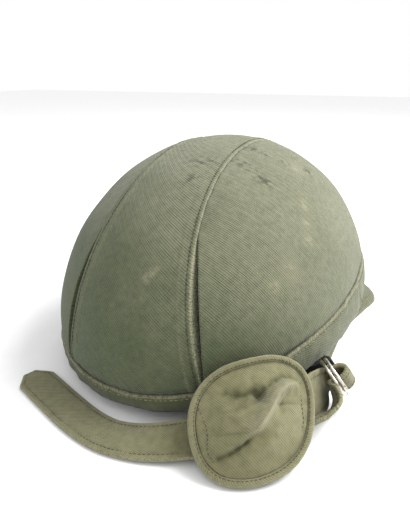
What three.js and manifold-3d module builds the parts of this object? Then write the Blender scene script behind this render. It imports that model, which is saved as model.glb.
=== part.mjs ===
// Canvas-covered padded jump helmet, standing on a table with its chin strap laid in front of it.
// Millimetres, +Z up. The brow faces -Y and the wearer's left is +X. The table is the plane under it.
import * as THREE from 'three';
import { mergeVertices } from 'three/addons/utils/BufferGeometryUtils.js';
import Module from 'manifold-3d';

const wasm = await Module();
wasm.setup();

// Driving dimensions
const GAP = 0.3; // between any two pieces
const CROWN = {
  halfWidth: 107.7, // at the widest line
  frontReach: 138.8, // from the crown's axis to the brow
  backReach: 131.2,
  widestAt: 11.3, // height of the widest line over the front rim
  rise: 115.4, // from the widest line to the top
  rollIn: 29.1, // depth over which the wall would close under the widest line
  power: 2.05, // a little squarer than an ellipsoid
  wall: 20, // canvas over sponge rubber
  columns: 60,
  rows: 9,
};
const SEAM = { frontLevel: 19.2, sideLift: 14.4, backLift: 6.2 }; // between crown and hem band
const STRIP = { halfWidthAtRim: 50.6, halfWidthAtTop: 26.6 };
const LEAN = { pitch: 8.06, roll: -2.47, lift: 18.3 }; // how the crown stands on its curtain, degrees and mm
const CURTAIN = { thickness: 3.5, inset: 6, slack: 1.6, halfStations: 22 };
const STRAP = { width: 24, thickness: 2.6, edge: 0.9, stations: 92 };
const RINGS = { radius: 12.6, wire: 1.05, spacing: 2.45, center: [108, -77.7, 20.2] };
const RING_AXIS = { bearing: 35, rise: 34 };
const RING_GRAIN = { bearing: -106.6, rise: 49.4 }; // direction of the strap's width inside the rings
const CUP = {
  center: [77.6, -136.2, 24.2],
  bearing: 32, // of its level axis
  tilt: 44, // of its plane from the table
  halfLong: 37.1,
  halfShort: 30.1,
  longTurn: 35.1, // of the long axis from the level axis
  shift: [1.1, -0.2],
  cloth: 2.2,
  belly: 7, // how far the cloth stands out of the plane of the rim
  leftSweep: 6.5, // how far the strap draws each end back, at a distance of sweepAt
  rightSweep: 5.5,
  sweepAt: 33,
  columns: 48,
  rings: 12,
};
const BINDING = { halfWidth: 2.1, halfThickness: 2.3, corners: 8 };
const TAB = { width: 11, thickness: 1.6, edge: 0.3, stations: 26 };
const CLASP = { radius: 9, reach: 14, depth: 2.4, place: [-98.5, -58, 5.4], nose: 30, turn: 207 };

// How far the oval leaves an ellipse: share of its radius, times in a turn, and where it is fullest
const CUP_FULLNESS = [
  { share: 0.028, times: 3, fullest: 0 },
  { share: 0.027, times: 4, fullest: 13.5 },
];

// Underside of the hem band in the crown's own frame, every 30 degrees from the wearer's left ear
const RIM_LEVELS = [
  { place: 'left ear', height: 7.6 },
  { place: 'behind the left ear', height: 8.4 },
  { place: 'left of the nape', height: 7.4 },
  { place: 'nape', height: 6.2 },
  { place: 'right of the nape', height: 8 },
  { place: 'behind the right ear', height: 10 },
  { place: 'right ear', height: 11 },
  { place: 'right temple', height: 10.4 },
  { place: 'right of the brow', height: 8.6 },
  { place: 'brow', height: 4 },
  { place: 'left of the brow', height: 3.6 },
  { place: 'left temple', height: 7 },
];

// Section of the hem band. Each corner is so far in, and so high over the rim or under the seam.
const BAND_SECTION = [
  { inset: 0, underSeam: 0 },
  { inset: -0.5, underSeam: 2 },
  { inset: -0.5, underSeam: 7 },
  { inset: 0, overRim: 4 },
  { inset: 1.6, overRim: 1.2 },
  { inset: 4.4, overRim: 0 },
  { inset: 13, overRim: 0 },
  { inset: 17, overRim: 1.5 },
  { inset: 20, overRim: 5 },
  { inset: 20, underSeam: 0 },
];

// The curtain's foot on the table, left half from the front end to the back, mirrored for the right
const CURTAIN_FEET = [
  { place: 'front end', rimAngle: -19, x: 93.9, y: -42 },
  { place: 'ear', rimAngle: -2, x: 92.6, y: -10 },
  { place: 'behind the ear', rimAngle: 17, x: 93.9, y: 27 },
  { place: 'before the corner', rimAngle: 34, x: 101, y: 63 },
  { place: 'corner', rimAngle: 48, x: 106, y: 90 },
  { place: 'past the corner', rimAngle: 57, x: 96, y: 115 },
  { place: 'quarter', rimAngle: 70, x: 58, y: 134 },
  { place: 'back', rimAngle: 90, x: 0, y: 142 },
];

// Middle line of the chin strap. towards and rise give the way its outer edge points.
const STRAP_PATH = [
  { place: 'tip', x: -79.6, y: -132.6, z: 1.5, towards: -111, rise: 0 },
  { place: 'near the tip', x: -70.5, y: -135.6, z: 1.5, towards: -110, rise: 0 },
  { place: 'left run', x: -53, y: -142.4, z: 1.5, towards: -109, rise: 0 },
  { place: 'left bend', x: -38.3, y: -148, z: 1.5, towards: -109, rise: 0 },
  { place: 'before the middle', x: -24.1, y: -153.1, z: 1.5, towards: -108, rise: 0 },
  { place: 'middle', x: -9.5, y: -157.2, z: 1.7, towards: -101, rise: -1 },
  { place: 'lowest', x: 4.6, y: -159.2, z: 2.5, towards: -90, rise: -4 },
  { place: 'right run', x: 20.9, y: -157.6, z: 4, towards: -74, rise: -9 },
  { place: 'nearing the cup', x: 35, y: -153.2, z: 6, towards: -69, rise: -14 },
  { place: 'at the cup', x: 48.5, y: -147, z: 8.2, towards: -65, rise: -16 },
  { place: 'behind the cup', x: 66, y: -134.5, z: 8.2, towards: -60, rise: -8 },
  { place: 'past the cup', x: 85.4, y: -117.6, z: 7.6, towards: -66, rise: 12 },
  { place: 'loop begins', x: 97, y: -106.2, z: 8, towards: -70, rise: 20 },
  { place: 'loop front', x: 105.6, y: -100.4, z: 9.4, towards: -56, rise: 34 },
  { place: 'loop side', x: 110.6, y: -95.2, z: 11.6, towards: -52, rise: 52 },
  { place: 'loop rising', x: 110.2, y: -89, z: 13.8, towards: -74, rise: 58 },
];
// Through the rings and back. down is off their middle, across the strap, and through is along their axis.
const RING_PASS = [
  { place: 'into the rings', down: 4, through: -4.6 },
  { place: 'out of the rings', down: 4.5, through: 3.4 },
  { place: 'fold, going', down: 3.6, through: 6.6 },
  { place: 'fold', down: 1, through: 8.4 },
  { place: 'fold, coming', down: -1.6, through: 6.6 },
  { place: 'back to the rings', down: -2.7, through: 3.4 },
  { place: 'back through', down: -2.2, through: -4.4 },
];
const STRAP_RETURN = [
  { place: 'inner face', x: 101.2, y: -92.5, z: 18.6, towards: 170, rise: 62 },
  { place: 'at the cup again', x: 95.8, y: -110, z: 20.6, towards: 160, rise: 60 },
  { place: 'sewn end', x: 87, y: -119.5, z: 19.6, towards: 140, rise: 52 },
];
const RING_SQUEEZE = 0.8; // the strap's share of its width inside the rings
const TIP_SHARE = 0.42; // of its width at the blunt tip

// Black webbing: out from under the rim, then round the rings' wires on their far upper side.
// away is the distance from the rings' middle, and through is along their axis.
const TAB_ROOT = [
  { place: 'under the rim', x: 82.6, y: -82.4, z: 13.6, towards: -38, rise: -6 },
  { place: 'out of the rim', x: 91, y: -76.2, z: 14.6, towards: -28, rise: -28 },
];
const TAB_WRAP = [
  { place: 'beside the rings', away: 13.4, through: -4.4 },
  { place: 'round the wires', away: 15.2, through: -1.8 },
  { place: 'round the wires', away: 15.2, through: 1.8 },
  { place: 'behind the rings', away: 12.6, through: 3.7 },
  { place: 'end', away: 10.2, through: 3.6 },
];
const RING_LENGTHWAYS = { bearing: -22.6, rise: -38.9 }; // from the rings' upper end to their lower end
const TAB_TURN = 45; // how far round the rings from their upper end the webbing holds them

// Folds in the chin cup, in its own level and upslope axes. height is out of the plane.
const CUP_FOLDS = [
  { fold: 'upper crease', from: [25, 18], to: [4, 9], width: 4, height: -4 },
  { fold: 'hollow', from: [4, 9], to: [-12, 10.5], width: 5.4, height: -3.2 },
  { fold: 'ridge, upper', from: [23, 14], to: [9, 4], width: 5, height: 4.4 },
  { fold: 'ridge, lower', from: [9, 4], to: [-2, -8], width: 5, height: 4.2 },
  { fold: 'lower crease', from: [-1, -11], to: [-18, -18.5], width: 4.6, height: -4.4 },
  { fold: 'right pocket', from: [25, 11], to: [13, 4], width: 4.4, height: -3 },
];

const DEG = Math.PI / 180;
const vec = (x, y, z) => new THREE.Vector3(x, y, z);
const heading = (bearing, rise) => vec(
  Math.cos(bearing * DEG) * Math.cos(rise * DEG),
  Math.sin(bearing * DEG) * Math.cos(rise * DEG),
  Math.sin(rise * DEG),
);
const signedPower = (value, power) => Math.sign(value) * Math.abs(value) ** power;

const cloth = (color) => new THREE.MeshStandardMaterial({ color, roughness: 0.95, metalness: 0 });
const OLIVE = 0x8a9272;
const OLIVE_DARK = 0x7c8464;
const KHAKI = 0x9d9a78;
const steel = new THREE.MeshStandardMaterial({ color: 0xb9b7b2, roughness: 0.28, metalness: 1 });
const blackWebbing = cloth(0x151515);

// Closed geometry from points and triangles, turned so that its faces point out
function solidGeometry(points, triangles) {
  let volume = 0;
  for (const [a, b, c] of triangles) {
    volume += points[a].dot(vec(0, 0, 0).crossVectors(points[b], points[c])) / 6;
  }
  const positions = new Float32Array(points.length * 3);
  points.forEach((point, index) => point.toArray(positions, index * 3));
  const order = volume > 0 ? triangles : triangles.map(([a, b, c]) => [a, c, b]);
  const geometry = new THREE.BufferGeometry();
  geometry.setAttribute('position', new THREE.BufferAttribute(positions, 3));
  geometry.setIndex(order.flat());
  geometry.computeVertexNormals();
  return geometry;
}

// Solid through sections, each a closed loop of as many points, capped at its ends or joined round
function loft(sections, joined = false) {
  const count = sections[0].length;
  const points = sections.flat();
  const triangles = [];
  const spans = joined ? sections.length : sections.length - 1;
  for (let i = 0; i < spans; i += 1) {
    const here = i * count;
    const next = ((i + 1) % sections.length) * count;
    for (let j = 0; j < count; j += 1) {
      const k = (j + 1) % count;
      triangles.push([here + j, next + j, next + k], [here + j, next + k, here + k]);
    }
  }
  if (!joined) {
    for (const [start, turn] of [[0, false], [(sections.length - 1) * count, true]]) {
      for (let j = 1; j < count - 1; j += 1) {
        const [b, c] = turn ? [start + j + 1, start + j] : [start + j, start + j + 1];
        triangles.push([start, b, c]);
      }
    }
  }
  return solidGeometry(points, triangles);
}

// Bowl-shaped solid between two skins of rings that each close on one middle point
function bowl(outerRings, outerMiddle, innerRings, innerMiddle) {
  const columns = outerRings[0].length;
  const rows = outerRings.length;
  const points = [...outerRings.flat(), ...innerRings.flat(), outerMiddle, innerMiddle];
  const triangles = [];
  const inner = rows * columns;
  const middles = [2 * inner, 2 * inner + 1];
  for (let j = 0; j < columns; j += 1) {
    const k = (j + 1) % columns;
    for (let i = 0; i < rows - 1; i += 1) {
      const [a, b, c, d] = [i * columns + j, i * columns + k, (i + 1) * columns + k, (i + 1) * columns + j];
      triangles.push([a, b, c], [a, c, d]);
      triangles.push([inner + a, inner + c, inner + b], [inner + a, inner + d, inner + c]);
    }
    const last = (rows - 1) * columns;
    triangles.push([last + j, last + k, middles[0]], [inner + last + k, inner + last + j, middles[1]]);
    triangles.push([inner + j, inner + k, k], [inner + j, k, j]);
  }
  return solidGeometry(points, triangles);
}

// Joining and cutting
function toManifold(geometry) {
  const bare = geometry.clone();
  bare.deleteAttribute('normal');
  bare.deleteAttribute('uv');
  const merged = mergeVertices(bare, 1e-4);
  return new wasm.Manifold(new wasm.Mesh({
    numProp: 3,
    vertProperties: new Float32Array(merged.attributes.position.array),
    triVerts: new Uint32Array(merged.index.array),
  }));
}

function fromManifold(manifold) {
  const mesh = manifold.getMesh();
  const geometry = new THREE.BufferGeometry();
  geometry.setAttribute('position', new THREE.BufferAttribute(new Float32Array(mesh.vertProperties), 3));
  geometry.setIndex([...mesh.triVerts]);
  geometry.computeVertexNormals();
  return geometry;
}

function named(name, geometry, material) {
  const mesh = new THREE.Mesh(geometry, material);
  mesh.name = name;
  return mesh;
}

// Crown: a superellipsoid dome with a wall, in the helmet's own frame
const seamLevel = (angle) => (
  SEAM.frontLevel + SEAM.sideLift * Math.cos(angle) ** 2 + SEAM.backLift * Math.max(Math.sin(angle), 0) ** 2
);
const rimCurve = new THREE.CatmullRomCurve3(
  RIM_LEVELS.map(({ height }, index) => vec(index, 0, height)), true, 'catmullrom', 0.5,
);
const rimHeight = (angle) => {
  const turns = angle / (2 * Math.PI);
  return rimCurve.getPoint(turns - Math.floor(turns)).z;
};

function crownPoint(angle, height, inset = 0) {
  const above = height >= CROWN.widestAt;
  const depth = above ? CROWN.rise - inset : CROWN.rollIn;
  const share = Math.min(Math.abs(height - CROWN.widestAt) / depth, 1);
  const swell = (1 - share ** CROWN.power) ** (1 / CROWN.power);
  const reach = Math.sin(angle) < 0 ? CROWN.frontReach : CROWN.backReach;
  const across = signedPower(Math.cos(angle), 2 / CROWN.power);
  const along = signedPower(Math.sin(angle), 2 / CROWN.power);
  return vec((CROWN.halfWidth - inset) * swell * across, (reach - inset) * swell * along, height);
}

function domeRings(inset, lowest) {
  const top = CROWN.rise - inset;
  return Array.from({ length: CROWN.rows }, (_, i) => (
    Array.from({ length: CROWN.columns }, (_unused, j) => {
      const angle = (j / CROWN.columns) * 2 * Math.PI;
      const start = Math.asin(((lowest(angle) - CROWN.widestAt) / top) ** (CROWN.power / 2));
      const climb = start + (Math.PI / 2 - start) * (i / CROWN.rows);
      return crownPoint(angle, CROWN.widestAt + top * Math.sin(climb) ** (2 / CROWN.power), inset);
    })
  ));
}

function makeCrown() {
  const topHeight = CROWN.widestAt + CROWN.rise;
  const shell = toManifold(bowl(
    domeRings(0, seamLevel),
    vec(0, 0, topHeight),
    domeRings(CROWN.wall, seamLevel),
    vec(0, 0, topHeight - CROWN.wall),
  ));
  const seamHalfWidth = (height, play) => (
    STRIP.halfWidthAtRim - (STRIP.halfWidthAtRim - STRIP.halfWidthAtTop) * (height / topHeight) + play
  );
  const wedge = (play) => {
    const [low, high] = [-20, topHeight + 20];
    const outline = new THREE.Shape([
      new THREE.Vector2(-seamHalfWidth(low, play), low),
      new THREE.Vector2(seamHalfWidth(low, play), low),
      new THREE.Vector2(seamHalfWidth(high, play), high),
      new THREE.Vector2(-seamHalfWidth(high, play), high),
    ]);
    const length = 2 * CROWN.frontReach + 20;
    const prism = new THREE.ExtrudeGeometry(outline, { depth: length, bevelEnabled: false });
    prism.rotateX(Math.PI / 2);
    prism.translate(0, length / 2, 0);
    return toManifold(prism);
  };
  const side = (direction) => {
    const box = new THREE.BoxGeometry(2 * topHeight, 4 * topHeight, 4 * topHeight);
    box.translate(direction * topHeight, 0, 0);
    return toManifold(box);
  };
  const outsideStrip = shell.subtract(wedge(GAP / 2));
  return [
    named('crown_strip', fromManifold(shell.intersect(wedge(-GAP / 2))), cloth(OLIVE)),
    named('crown_left', fromManifold(outsideStrip.intersect(side(1))), cloth(OLIVE)),
    named('crown_right', fromManifold(outsideStrip.intersect(side(-1))), cloth(OLIVE)),
  ];
}

// Hem band: a padded rim
function makeBand() {
  const sections = Array.from({ length: CROWN.columns }, (_, j) => {
    const angle = (j / CROWN.columns) * 2 * Math.PI;
    const inward = vec(-Math.cos(angle), -Math.sin(angle), 0);
    return BAND_SECTION.map(({ inset, overRim, underSeam }) => {
      const level = overRim === undefined ? seamLevel(angle) - GAP - underSeam : rimHeight(angle) + overRim;
      return crownPoint(angle, level).addScaledVector(inward, inset);
    });
  });
  return named('hem_band', loft(sections, true), cloth(OLIVE_DARK));
}

// Neck curtain, from the rim's underside down to a flat foot on the table
function makeCurtain(toTable) {
  const left = CURTAIN_FEET.slice(0, -1);
  const mirrored = left.map((row) => ({ ...row, rimAngle: 180 - row.rimAngle, x: -row.x })).reverse();
  const rows = [...left, CURTAIN_FEET[CURTAIN_FEET.length - 1], ...mirrored];
  const feet = new THREE.CatmullRomCurve3(rows.map(({ x, y }) => vec(x, y, 0)), false, 'centripetal');
  const angles = new THREE.CatmullRomCurve3(rows.map(({ rimAngle }) => vec(rimAngle, 0, 0)));
  const count = CURTAIN.halfStations * 2;
  const drops = [0, 0.35, 0.7, 1];
  const sections = Array.from({ length: count + 1 }, (_, i) => {
    const t = i / count;
    const angle = angles.getPoint(t).x * DEG;
    const foot = feet.getPoint(t);
    const along = feet.getTangent(t);
    const out = vec(along.y, -along.x, 0).normalize();
    const rim = rimHeight(angle) - GAP;
    const inward = vec(-Math.cos(angle), -Math.sin(angle), 0);
    const head = crownPoint(angle, rim).addScaledVector(inward, CURTAIN.inset);
    const skin = (side) => drops.map((drop) => {
      const slack = Math.sin(drop * Math.PI) * CURTAIN.slack;
      const reach = (side * CURTAIN.thickness) / 2;
      const top = toTable(head.clone().addScaledVector(inward, -reach));
      const bottom = foot.clone().addScaledVector(out, reach);
      return top.lerp(bottom, drop).addScaledVector(out, -slack);
    });
    return [...skin(1), ...skin(-1).reverse()];
  });
  return named('neck_curtain', loft(sections), cloth(OLIVE_DARK));
}

// A flat strip of webbing along a middle line, with its width given by a direction at each point
function ribbon(stations, thickness, count, edge) {
  const line = new THREE.CatmullRomCurve3(stations.map(({ point }) => point), false, 'centripetal');
  const widths = new THREE.CatmullRomCurve3(stations.map(({ across }) => across), false, 'centripetal');
  const last = stations.length - 1;
  const sections = Array.from({ length: count + 1 }, (_, i) => {
    const t = i / count;
    const place = Math.min(Math.floor(t * last), last - 1);
    const share = t * last - place;
    const half = THREE.MathUtils.lerp(stations[place].half, stations[place + 1].half, share);
    const across = new THREE.Vector3();
    across.copy(stations[place].across).lerp(stations[place + 1].across, share);
    if (stations.length > 4) across.copy(widths.getPoint(t));
    const along = line.getTangent(t);
    across.addScaledVector(along, -across.dot(along)).normalize();
    const face = vec(0, 0, 0).crossVectors(along, across).normalize();
    const middle = line.getPoint(t);
    const corners = [
      [-half, 0], [-half + edge, 1], [half - edge, 1], [half, 0], [half - edge, -1], [-half + edge, -1],
    ];
    return corners.map(([offset, side]) => (
      middle.clone().addScaledVector(across, offset).addScaledVector(face, (side * thickness) / 2)
    ));
  });
  return loft(sections);
}

// The rings' own directions: their axis, the strap's width and the slope between them
const ringAxis = heading(RING_AXIS.bearing, RING_AXIS.rise);
const ringGrain = heading(RING_GRAIN.bearing, RING_GRAIN.rise);
ringGrain.addScaledVector(ringAxis, -ringGrain.dot(ringAxis)).normalize();
const ringDown = vec(0, 0, 0).crossVectors(ringAxis, ringGrain).normalize();
if (ringDown.z > 0) ringDown.negate();
const ringCenter = vec(...RINGS.center);
const ringPoint = (down, through) => (
  ringCenter.clone().addScaledVector(ringDown, down).addScaledVector(ringAxis, through)
);

function makeStrap() {
  const full = STRAP.width / 2;
  const onTable = ({ x, y, z, towards, rise }) => ({
    point: vec(x, y, z), across: heading(towards, rise), half: full,
  });
  const inRings = ({ down, through }) => ({
    point: ringPoint(down, through), across: ringGrain.clone(), half: full * RING_SQUEEZE,
  });
  const stations = [...STRAP_PATH.map(onTable), ...RING_PASS.map(inRings), ...STRAP_RETURN.map(onTable)];
  stations[0].half = full * TIP_SHARE;
  return named('chin_strap', ribbon(stations, STRAP.thickness, STRAP.stations, STRAP.edge), cloth(KHAKI));
}

function makeRing(name, through) {
  const torus = new THREE.TorusGeometry(RINGS.radius, RINGS.wire, 8, 24);
  const ring = named(name, torus, steel);
  ring.position.copy(ringPoint(0, through));
  ring.quaternion.setFromUnitVectors(vec(0, 0, 1), ringAxis);
  return ring;
}

// Black webbing that comes from under the rim and goes round both rings
function makeRingTab() {
  const lengthways = heading(RING_LENGTHWAYS.bearing, RING_LENGTHWAYS.rise);
  lengthways.addScaledVector(ringAxis, -lengthways.dot(ringAxis)).normalize();
  const nearSide = vec(0, 0, 0).crossVectors(ringAxis, lengthways).normalize();
  if (nearSide.z < 0) nearSide.negate();
  const turn = TAB_TURN * DEG;
  const outward = lengthways.clone().multiplyScalar(-Math.cos(turn)).addScaledVector(nearSide, -Math.sin(turn));
  const wireway = lengthways.clone().multiplyScalar(Math.sin(turn)).addScaledVector(nearSide, -Math.cos(turn));
  const half = TAB.width / 2;
  const stations = [
    ...TAB_ROOT.map(({ x, y, z, towards, rise }) => (
      { point: vec(x, y, z), across: heading(towards, rise), half }
    )),
    ...TAB_WRAP.map(({ away, through }) => ({
      point: ringCenter.clone().addScaledVector(outward, away).addScaledVector(ringAxis, through),
      across: wireway.clone(),
      half,
    })),
  ];
  const webbing = ribbon(stations, TAB.thickness, TAB.stations, TAB.edge);
  return named('ring_tab', webbing, blackWebbing);
}

// Chin cup: an oval of doubled canvas in a bound edge, collapsed into folds
const levelAxis = heading(CUP.bearing, 0);
const slopeAxis = heading(CUP.bearing + 90, CUP.tilt);
const cupFrame = new THREE.Matrix4().makeBasis(
  levelAxis, slopeAxis, vec(0, 0, 0).crossVectors(levelAxis, slopeAxis),
);

function cupOutline(angle, inset) {
  const fullness = CUP_FULLNESS.reduce((sum, { share, times, fullest }) => (
    sum + share * Math.cos(times * (angle - fullest * DEG))
  ), 1);
  const turn = CUP.longTurn * DEG;
  const p = (CUP.halfLong * fullness - inset) * Math.cos(angle);
  const q = (CUP.halfShort * fullness - inset) * Math.sin(angle);
  return vec(
    CUP.shift[0] + p * Math.cos(turn) - q * Math.sin(turn),
    CUP.shift[1] + p * Math.sin(turn) + q * Math.cos(turn),
    0,
  );
}

function cupSweep(x) {
  const sweep = x < 0 ? CUP.leftSweep : CUP.rightSweep;
  return -sweep * (x / CUP.sweepAt) ** 2;
}

function cupRelief(x, y) {
  return CUP_FOLDS.reduce((sum, { from, to, width, height }) => {
    const [dx, dy] = [to[0] - from[0], to[1] - from[1]];
    const share = THREE.MathUtils.clamp(((x - from[0]) * dx + (y - from[1]) * dy) / (dx * dx + dy * dy), 0, 1);
    const distance = Math.hypot(x - from[0] - share * dx, y - from[1] - share * dy);
    return sum + height * Math.exp(-((distance / width) ** 2));
  }, 0);
}

function makeCup() {
  const inset = 2 * BINDING.halfWidth + GAP;
  const { columns, rings } = CUP;
  const middle = vec(...CUP.shift, 0);
  const skin = (offset) => {
    const at = (angle, share) => {
      const point = middle.clone().lerp(cupOutline(angle, inset), share);
      const fade = 1 - share ** 5;
      point.z = cupSweep(point.x) + fade * (CUP.belly * (1 - share ** 2) + cupRelief(point.x, point.y)) + offset;
      return point;
    };
    const ring = (share) => Array.from({ length: columns }, (_, j) => at((j / columns) * 2 * Math.PI, share));
    return { rings: Array.from({ length: rings }, (_, i) => ring(1 - i / rings)), middle: at(0, 0) };
  };
  const front = skin(CUP.cloth / 2);
  const back = skin(-CUP.cloth / 2);
  const cup = named('chin_cup', bowl(front.rings, front.middle, back.rings, back.middle), cloth(KHAKI));
  const sections = Array.from({ length: columns }, (_, j) => {
    const angle = (j / columns) * 2 * Math.PI;
    return Array.from({ length: BINDING.corners }, (_unused, k) => {
      const turn = (k / BINDING.corners) * 2 * Math.PI;
      const point = cupOutline(angle, BINDING.halfWidth * (1 - Math.cos(turn)));
      point.z = cupSweep(cupOutline(angle, BINDING.halfWidth).x) + BINDING.halfThickness * Math.sin(turn);
      return point;
    });
  });
  const binding = named('cup_binding', loft(sections, true), cloth(KHAKI));
  const group = new THREE.Group();
  group.position.set(...CUP.center);
  group.quaternion.setFromRotationMatrix(cupFrame);
  group.add(cup, binding);
  return group;
}

// Plain fastening under the wearer's right ear, where the strap's free end would go
function makeRightClasp() {
  const outline = new THREE.Shape();
  outline.absarc(0, 0, CLASP.radius, -Math.PI / 2, Math.PI / 2, false);
  outline.lineTo(-CLASP.reach, CLASP.radius);
  outline.lineTo(-CLASP.reach, -CLASP.radius);
  const plate = new THREE.ExtrudeGeometry(outline, {
    depth: CLASP.depth, bevelEnabled: false, curveSegments: 10,
  });
  const clasp = named('right_clasp', plate, cloth(KHAKI));
  clasp.position.set(...CLASP.place);
  clasp.rotation.set(0, CLASP.nose * DEG, CLASP.turn * DEG, 'ZYX');
  return clasp;
}

// The crown stands on its curtain, leaning back
const helmet = new THREE.Group();
helmet.rotation.set(LEAN.pitch * DEG, LEAN.roll * DEG, 0);
helmet.add(...makeCrown(), makeBand());
helmet.position.z = LEAN.lift;
helmet.updateMatrixWorld(true);
const toTable = (point) => point.applyMatrix4(helmet.matrixWorld);

const group = new THREE.Group();
group.add(
  helmet,
  makeCurtain(toTable),
  makeStrap(),
  makeRing('ring_inner', -RINGS.spacing / 2),
  makeRing('ring_outer', RINGS.spacing / 2),
  makeRingTab(),
  makeCup(),
  makeRightClasp(),
);

// Origin under the middle of the whole thing, on the table
const box = new THREE.Box3().setFromObject(group, true);
group.position.set(-(box.min.x + box.max.x) / 2, -(box.min.y + box.max.y) / 2, -box.min.z);

export default group;
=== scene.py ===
"""Padded jump helmet standing on a table, with its chin strap laid out in front of it.

Sizes are in millimetres in the table's own frame: the brow faces -Y, the wearer's left is +X and the
table is z = 0. Everything is turned into metres in the row frame as its mesh is made.
"""

import logging
import math
from dataclasses import dataclass, field
from enum import Enum
from typing import Callable, Sequence, Union

import bpy
import numpy as np
from mathutils import Matrix, Vector


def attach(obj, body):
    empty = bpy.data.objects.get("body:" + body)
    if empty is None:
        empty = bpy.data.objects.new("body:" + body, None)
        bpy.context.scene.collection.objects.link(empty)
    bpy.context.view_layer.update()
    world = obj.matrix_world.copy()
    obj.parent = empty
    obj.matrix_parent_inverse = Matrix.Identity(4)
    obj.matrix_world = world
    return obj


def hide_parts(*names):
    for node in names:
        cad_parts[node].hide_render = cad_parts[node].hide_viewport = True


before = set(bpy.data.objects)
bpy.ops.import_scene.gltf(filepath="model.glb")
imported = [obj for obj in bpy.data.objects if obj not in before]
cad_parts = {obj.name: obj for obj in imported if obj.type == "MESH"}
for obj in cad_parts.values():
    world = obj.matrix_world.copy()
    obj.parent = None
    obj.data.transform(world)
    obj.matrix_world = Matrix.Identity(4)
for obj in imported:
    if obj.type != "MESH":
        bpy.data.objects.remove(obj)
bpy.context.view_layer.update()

LOG = logging.getLogger("helmet")
TO_ROW = np.array([-5.3491, 13.7047, 0.0])
MM = 0.001

Array = np.ndarray
Colour = tuple[float, float, float]
Socket = bpy.types.NodeSocket


def linear(colour: Colour) -> tuple[float, float, float, float]:
    """Turns a screen colour, 0 to 255, into the linear colour that shaders take.

    Args:
        colour: Red, green and blue, 0 to 255.

    Returns:
        Linear red, green, blue and alpha.
    """
    parts = [c / 255 for c in colour]
    red, green, blue = (c / 12.92 if c <= 0.04045 else ((c + 0.055) / 1.055) ** 2.4 for c in parts)
    return red, green, blue, 1.0


def unit(vectors: Array) -> Array:
    """Vectors of length one along the last axis."""
    return vectors / np.maximum(np.linalg.norm(vectors, axis=-1, keepdims=True), 1e-12)


def heading(bearing: Array, rise: Array) -> Array:
    """Unit vectors from bearings in the table's plane and rises above it, in degrees."""
    b, r = np.radians(bearing), np.radians(rise)
    return np.stack([np.cos(b) * np.cos(r), np.sin(b) * np.cos(r), np.sin(r)], axis=-1)


def signed_power(value: Array, power: float) -> Array:
    """The power of a value's size, with the value's sign."""
    return np.sign(value) * np.abs(value) ** power


def smooth(value: Array, low: float, high: float) -> Array:
    """Smooth step from 0 at low to 1 at high."""
    t = np.clip((value - low) / (high - low), 0, 1)
    return t * t * (3 - 2 * t)


def bell(value: Array, width: float) -> Array:
    """Bell curve of height 1 round a value of 0, as wide on each side as its width."""
    return np.exp(-((value / width) ** 2))


@dataclass(frozen=True)
class Ripple:
    """Soft unevenness made of a few plane waves, with the usual distance between two crests."""

    height: float
    pitch: float
    seed: int
    waves: int = 14

    def at(self, points: Array) -> Array:
        """How high it stands at points in millimetres, last axis of 3."""
        rng = np.random.default_rng(self.seed)
        ways = unit(rng.normal(size=(self.waves, 3)))
        ways = ways * (2 * np.pi / (self.pitch * rng.uniform(0.7, 1.6, (self.waves, 1))))
        phases = rng.uniform(0, 2 * np.pi, self.waves)
        return self.height * (np.sin(points @ ways.T + phases).sum(axis=-1) / math.sqrt(self.waves))


@dataclass(frozen=True)
class Spline:
    """Smooth line through points: centripetal, or uniform where `even` is set."""

    points: Array
    closed: bool = False
    even: bool = False

    def at(self, shares: Array) -> Array:
        """Points of the line.

        Args:
            shares: Places on the line, 0 to 1, as shares of its spans.

        Returns:
            One point for each share.
        """
        pts, t = np.asarray(self.points, float), np.atleast_1d(np.asarray(shares, float))
        count = len(pts)
        place = (t % 1.0 if self.closed else np.clip(t, 0, 1)) * (count if self.closed else count - 1)
        start = np.floor(place).astype(int)
        if not self.closed:
            start = np.minimum(start, count - 2)
            pts = np.vstack([2 * pts[0] - pts[1], pts, 2 * pts[-1] - pts[-2]])
            quad = [pts[start + k] for k in range(4)]
        else:
            quad = [pts[(start + k - 1) % count] for k in range(4)]
        weight = (place - start)[:, None]
        p0, p1, p2, p3 = quad
        if self.even:
            t1, t2 = 0.5 * (p2 - p0), 0.5 * (p3 - p1)
        else:
            d0, d1, d2 = (((b - a) ** 2).sum(1, keepdims=True) ** 0.25 for a, b in zip(quad, quad[1:]))
            d1 = np.where(d1 < 1e-4, 1.0, d1)
            d0, d2 = np.where(d0 < 1e-4, d1, d0), np.where(d2 < 1e-4, d1, d2)
            t1 = ((p1 - p0) / d0 - (p2 - p0) / (d0 + d1) + (p2 - p1) / d1) * d1
            t2 = ((p2 - p1) / d1 - (p3 - p1) / (d1 + d2) + (p3 - p2) / d2) * d1
        return (
            p1
            + t1 * weight
            + (-3 * p1 + 3 * p2 - 2 * t1 - t2) * weight**2
            + (2 * p1 - 2 * p2 + t1 + t2) * weight**3
        )

    def tangent(self, shares: Array) -> Array:
        """Unit tangents of the line at the shares."""
        t, step = np.atleast_1d(np.asarray(shares, float)), 1e-4
        low, high = t - step, t + step
        if not self.closed:
            low, high = np.maximum(low, 0), np.minimum(high, 1)
        return unit(self.at(high) - self.at(low))


@dataclass
class Surface:
    """Grid of points, with what the finish of each point needs."""

    points: Array
    cloth: Array
    marks: dict[str, Array] = field(default_factory=dict)


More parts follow.
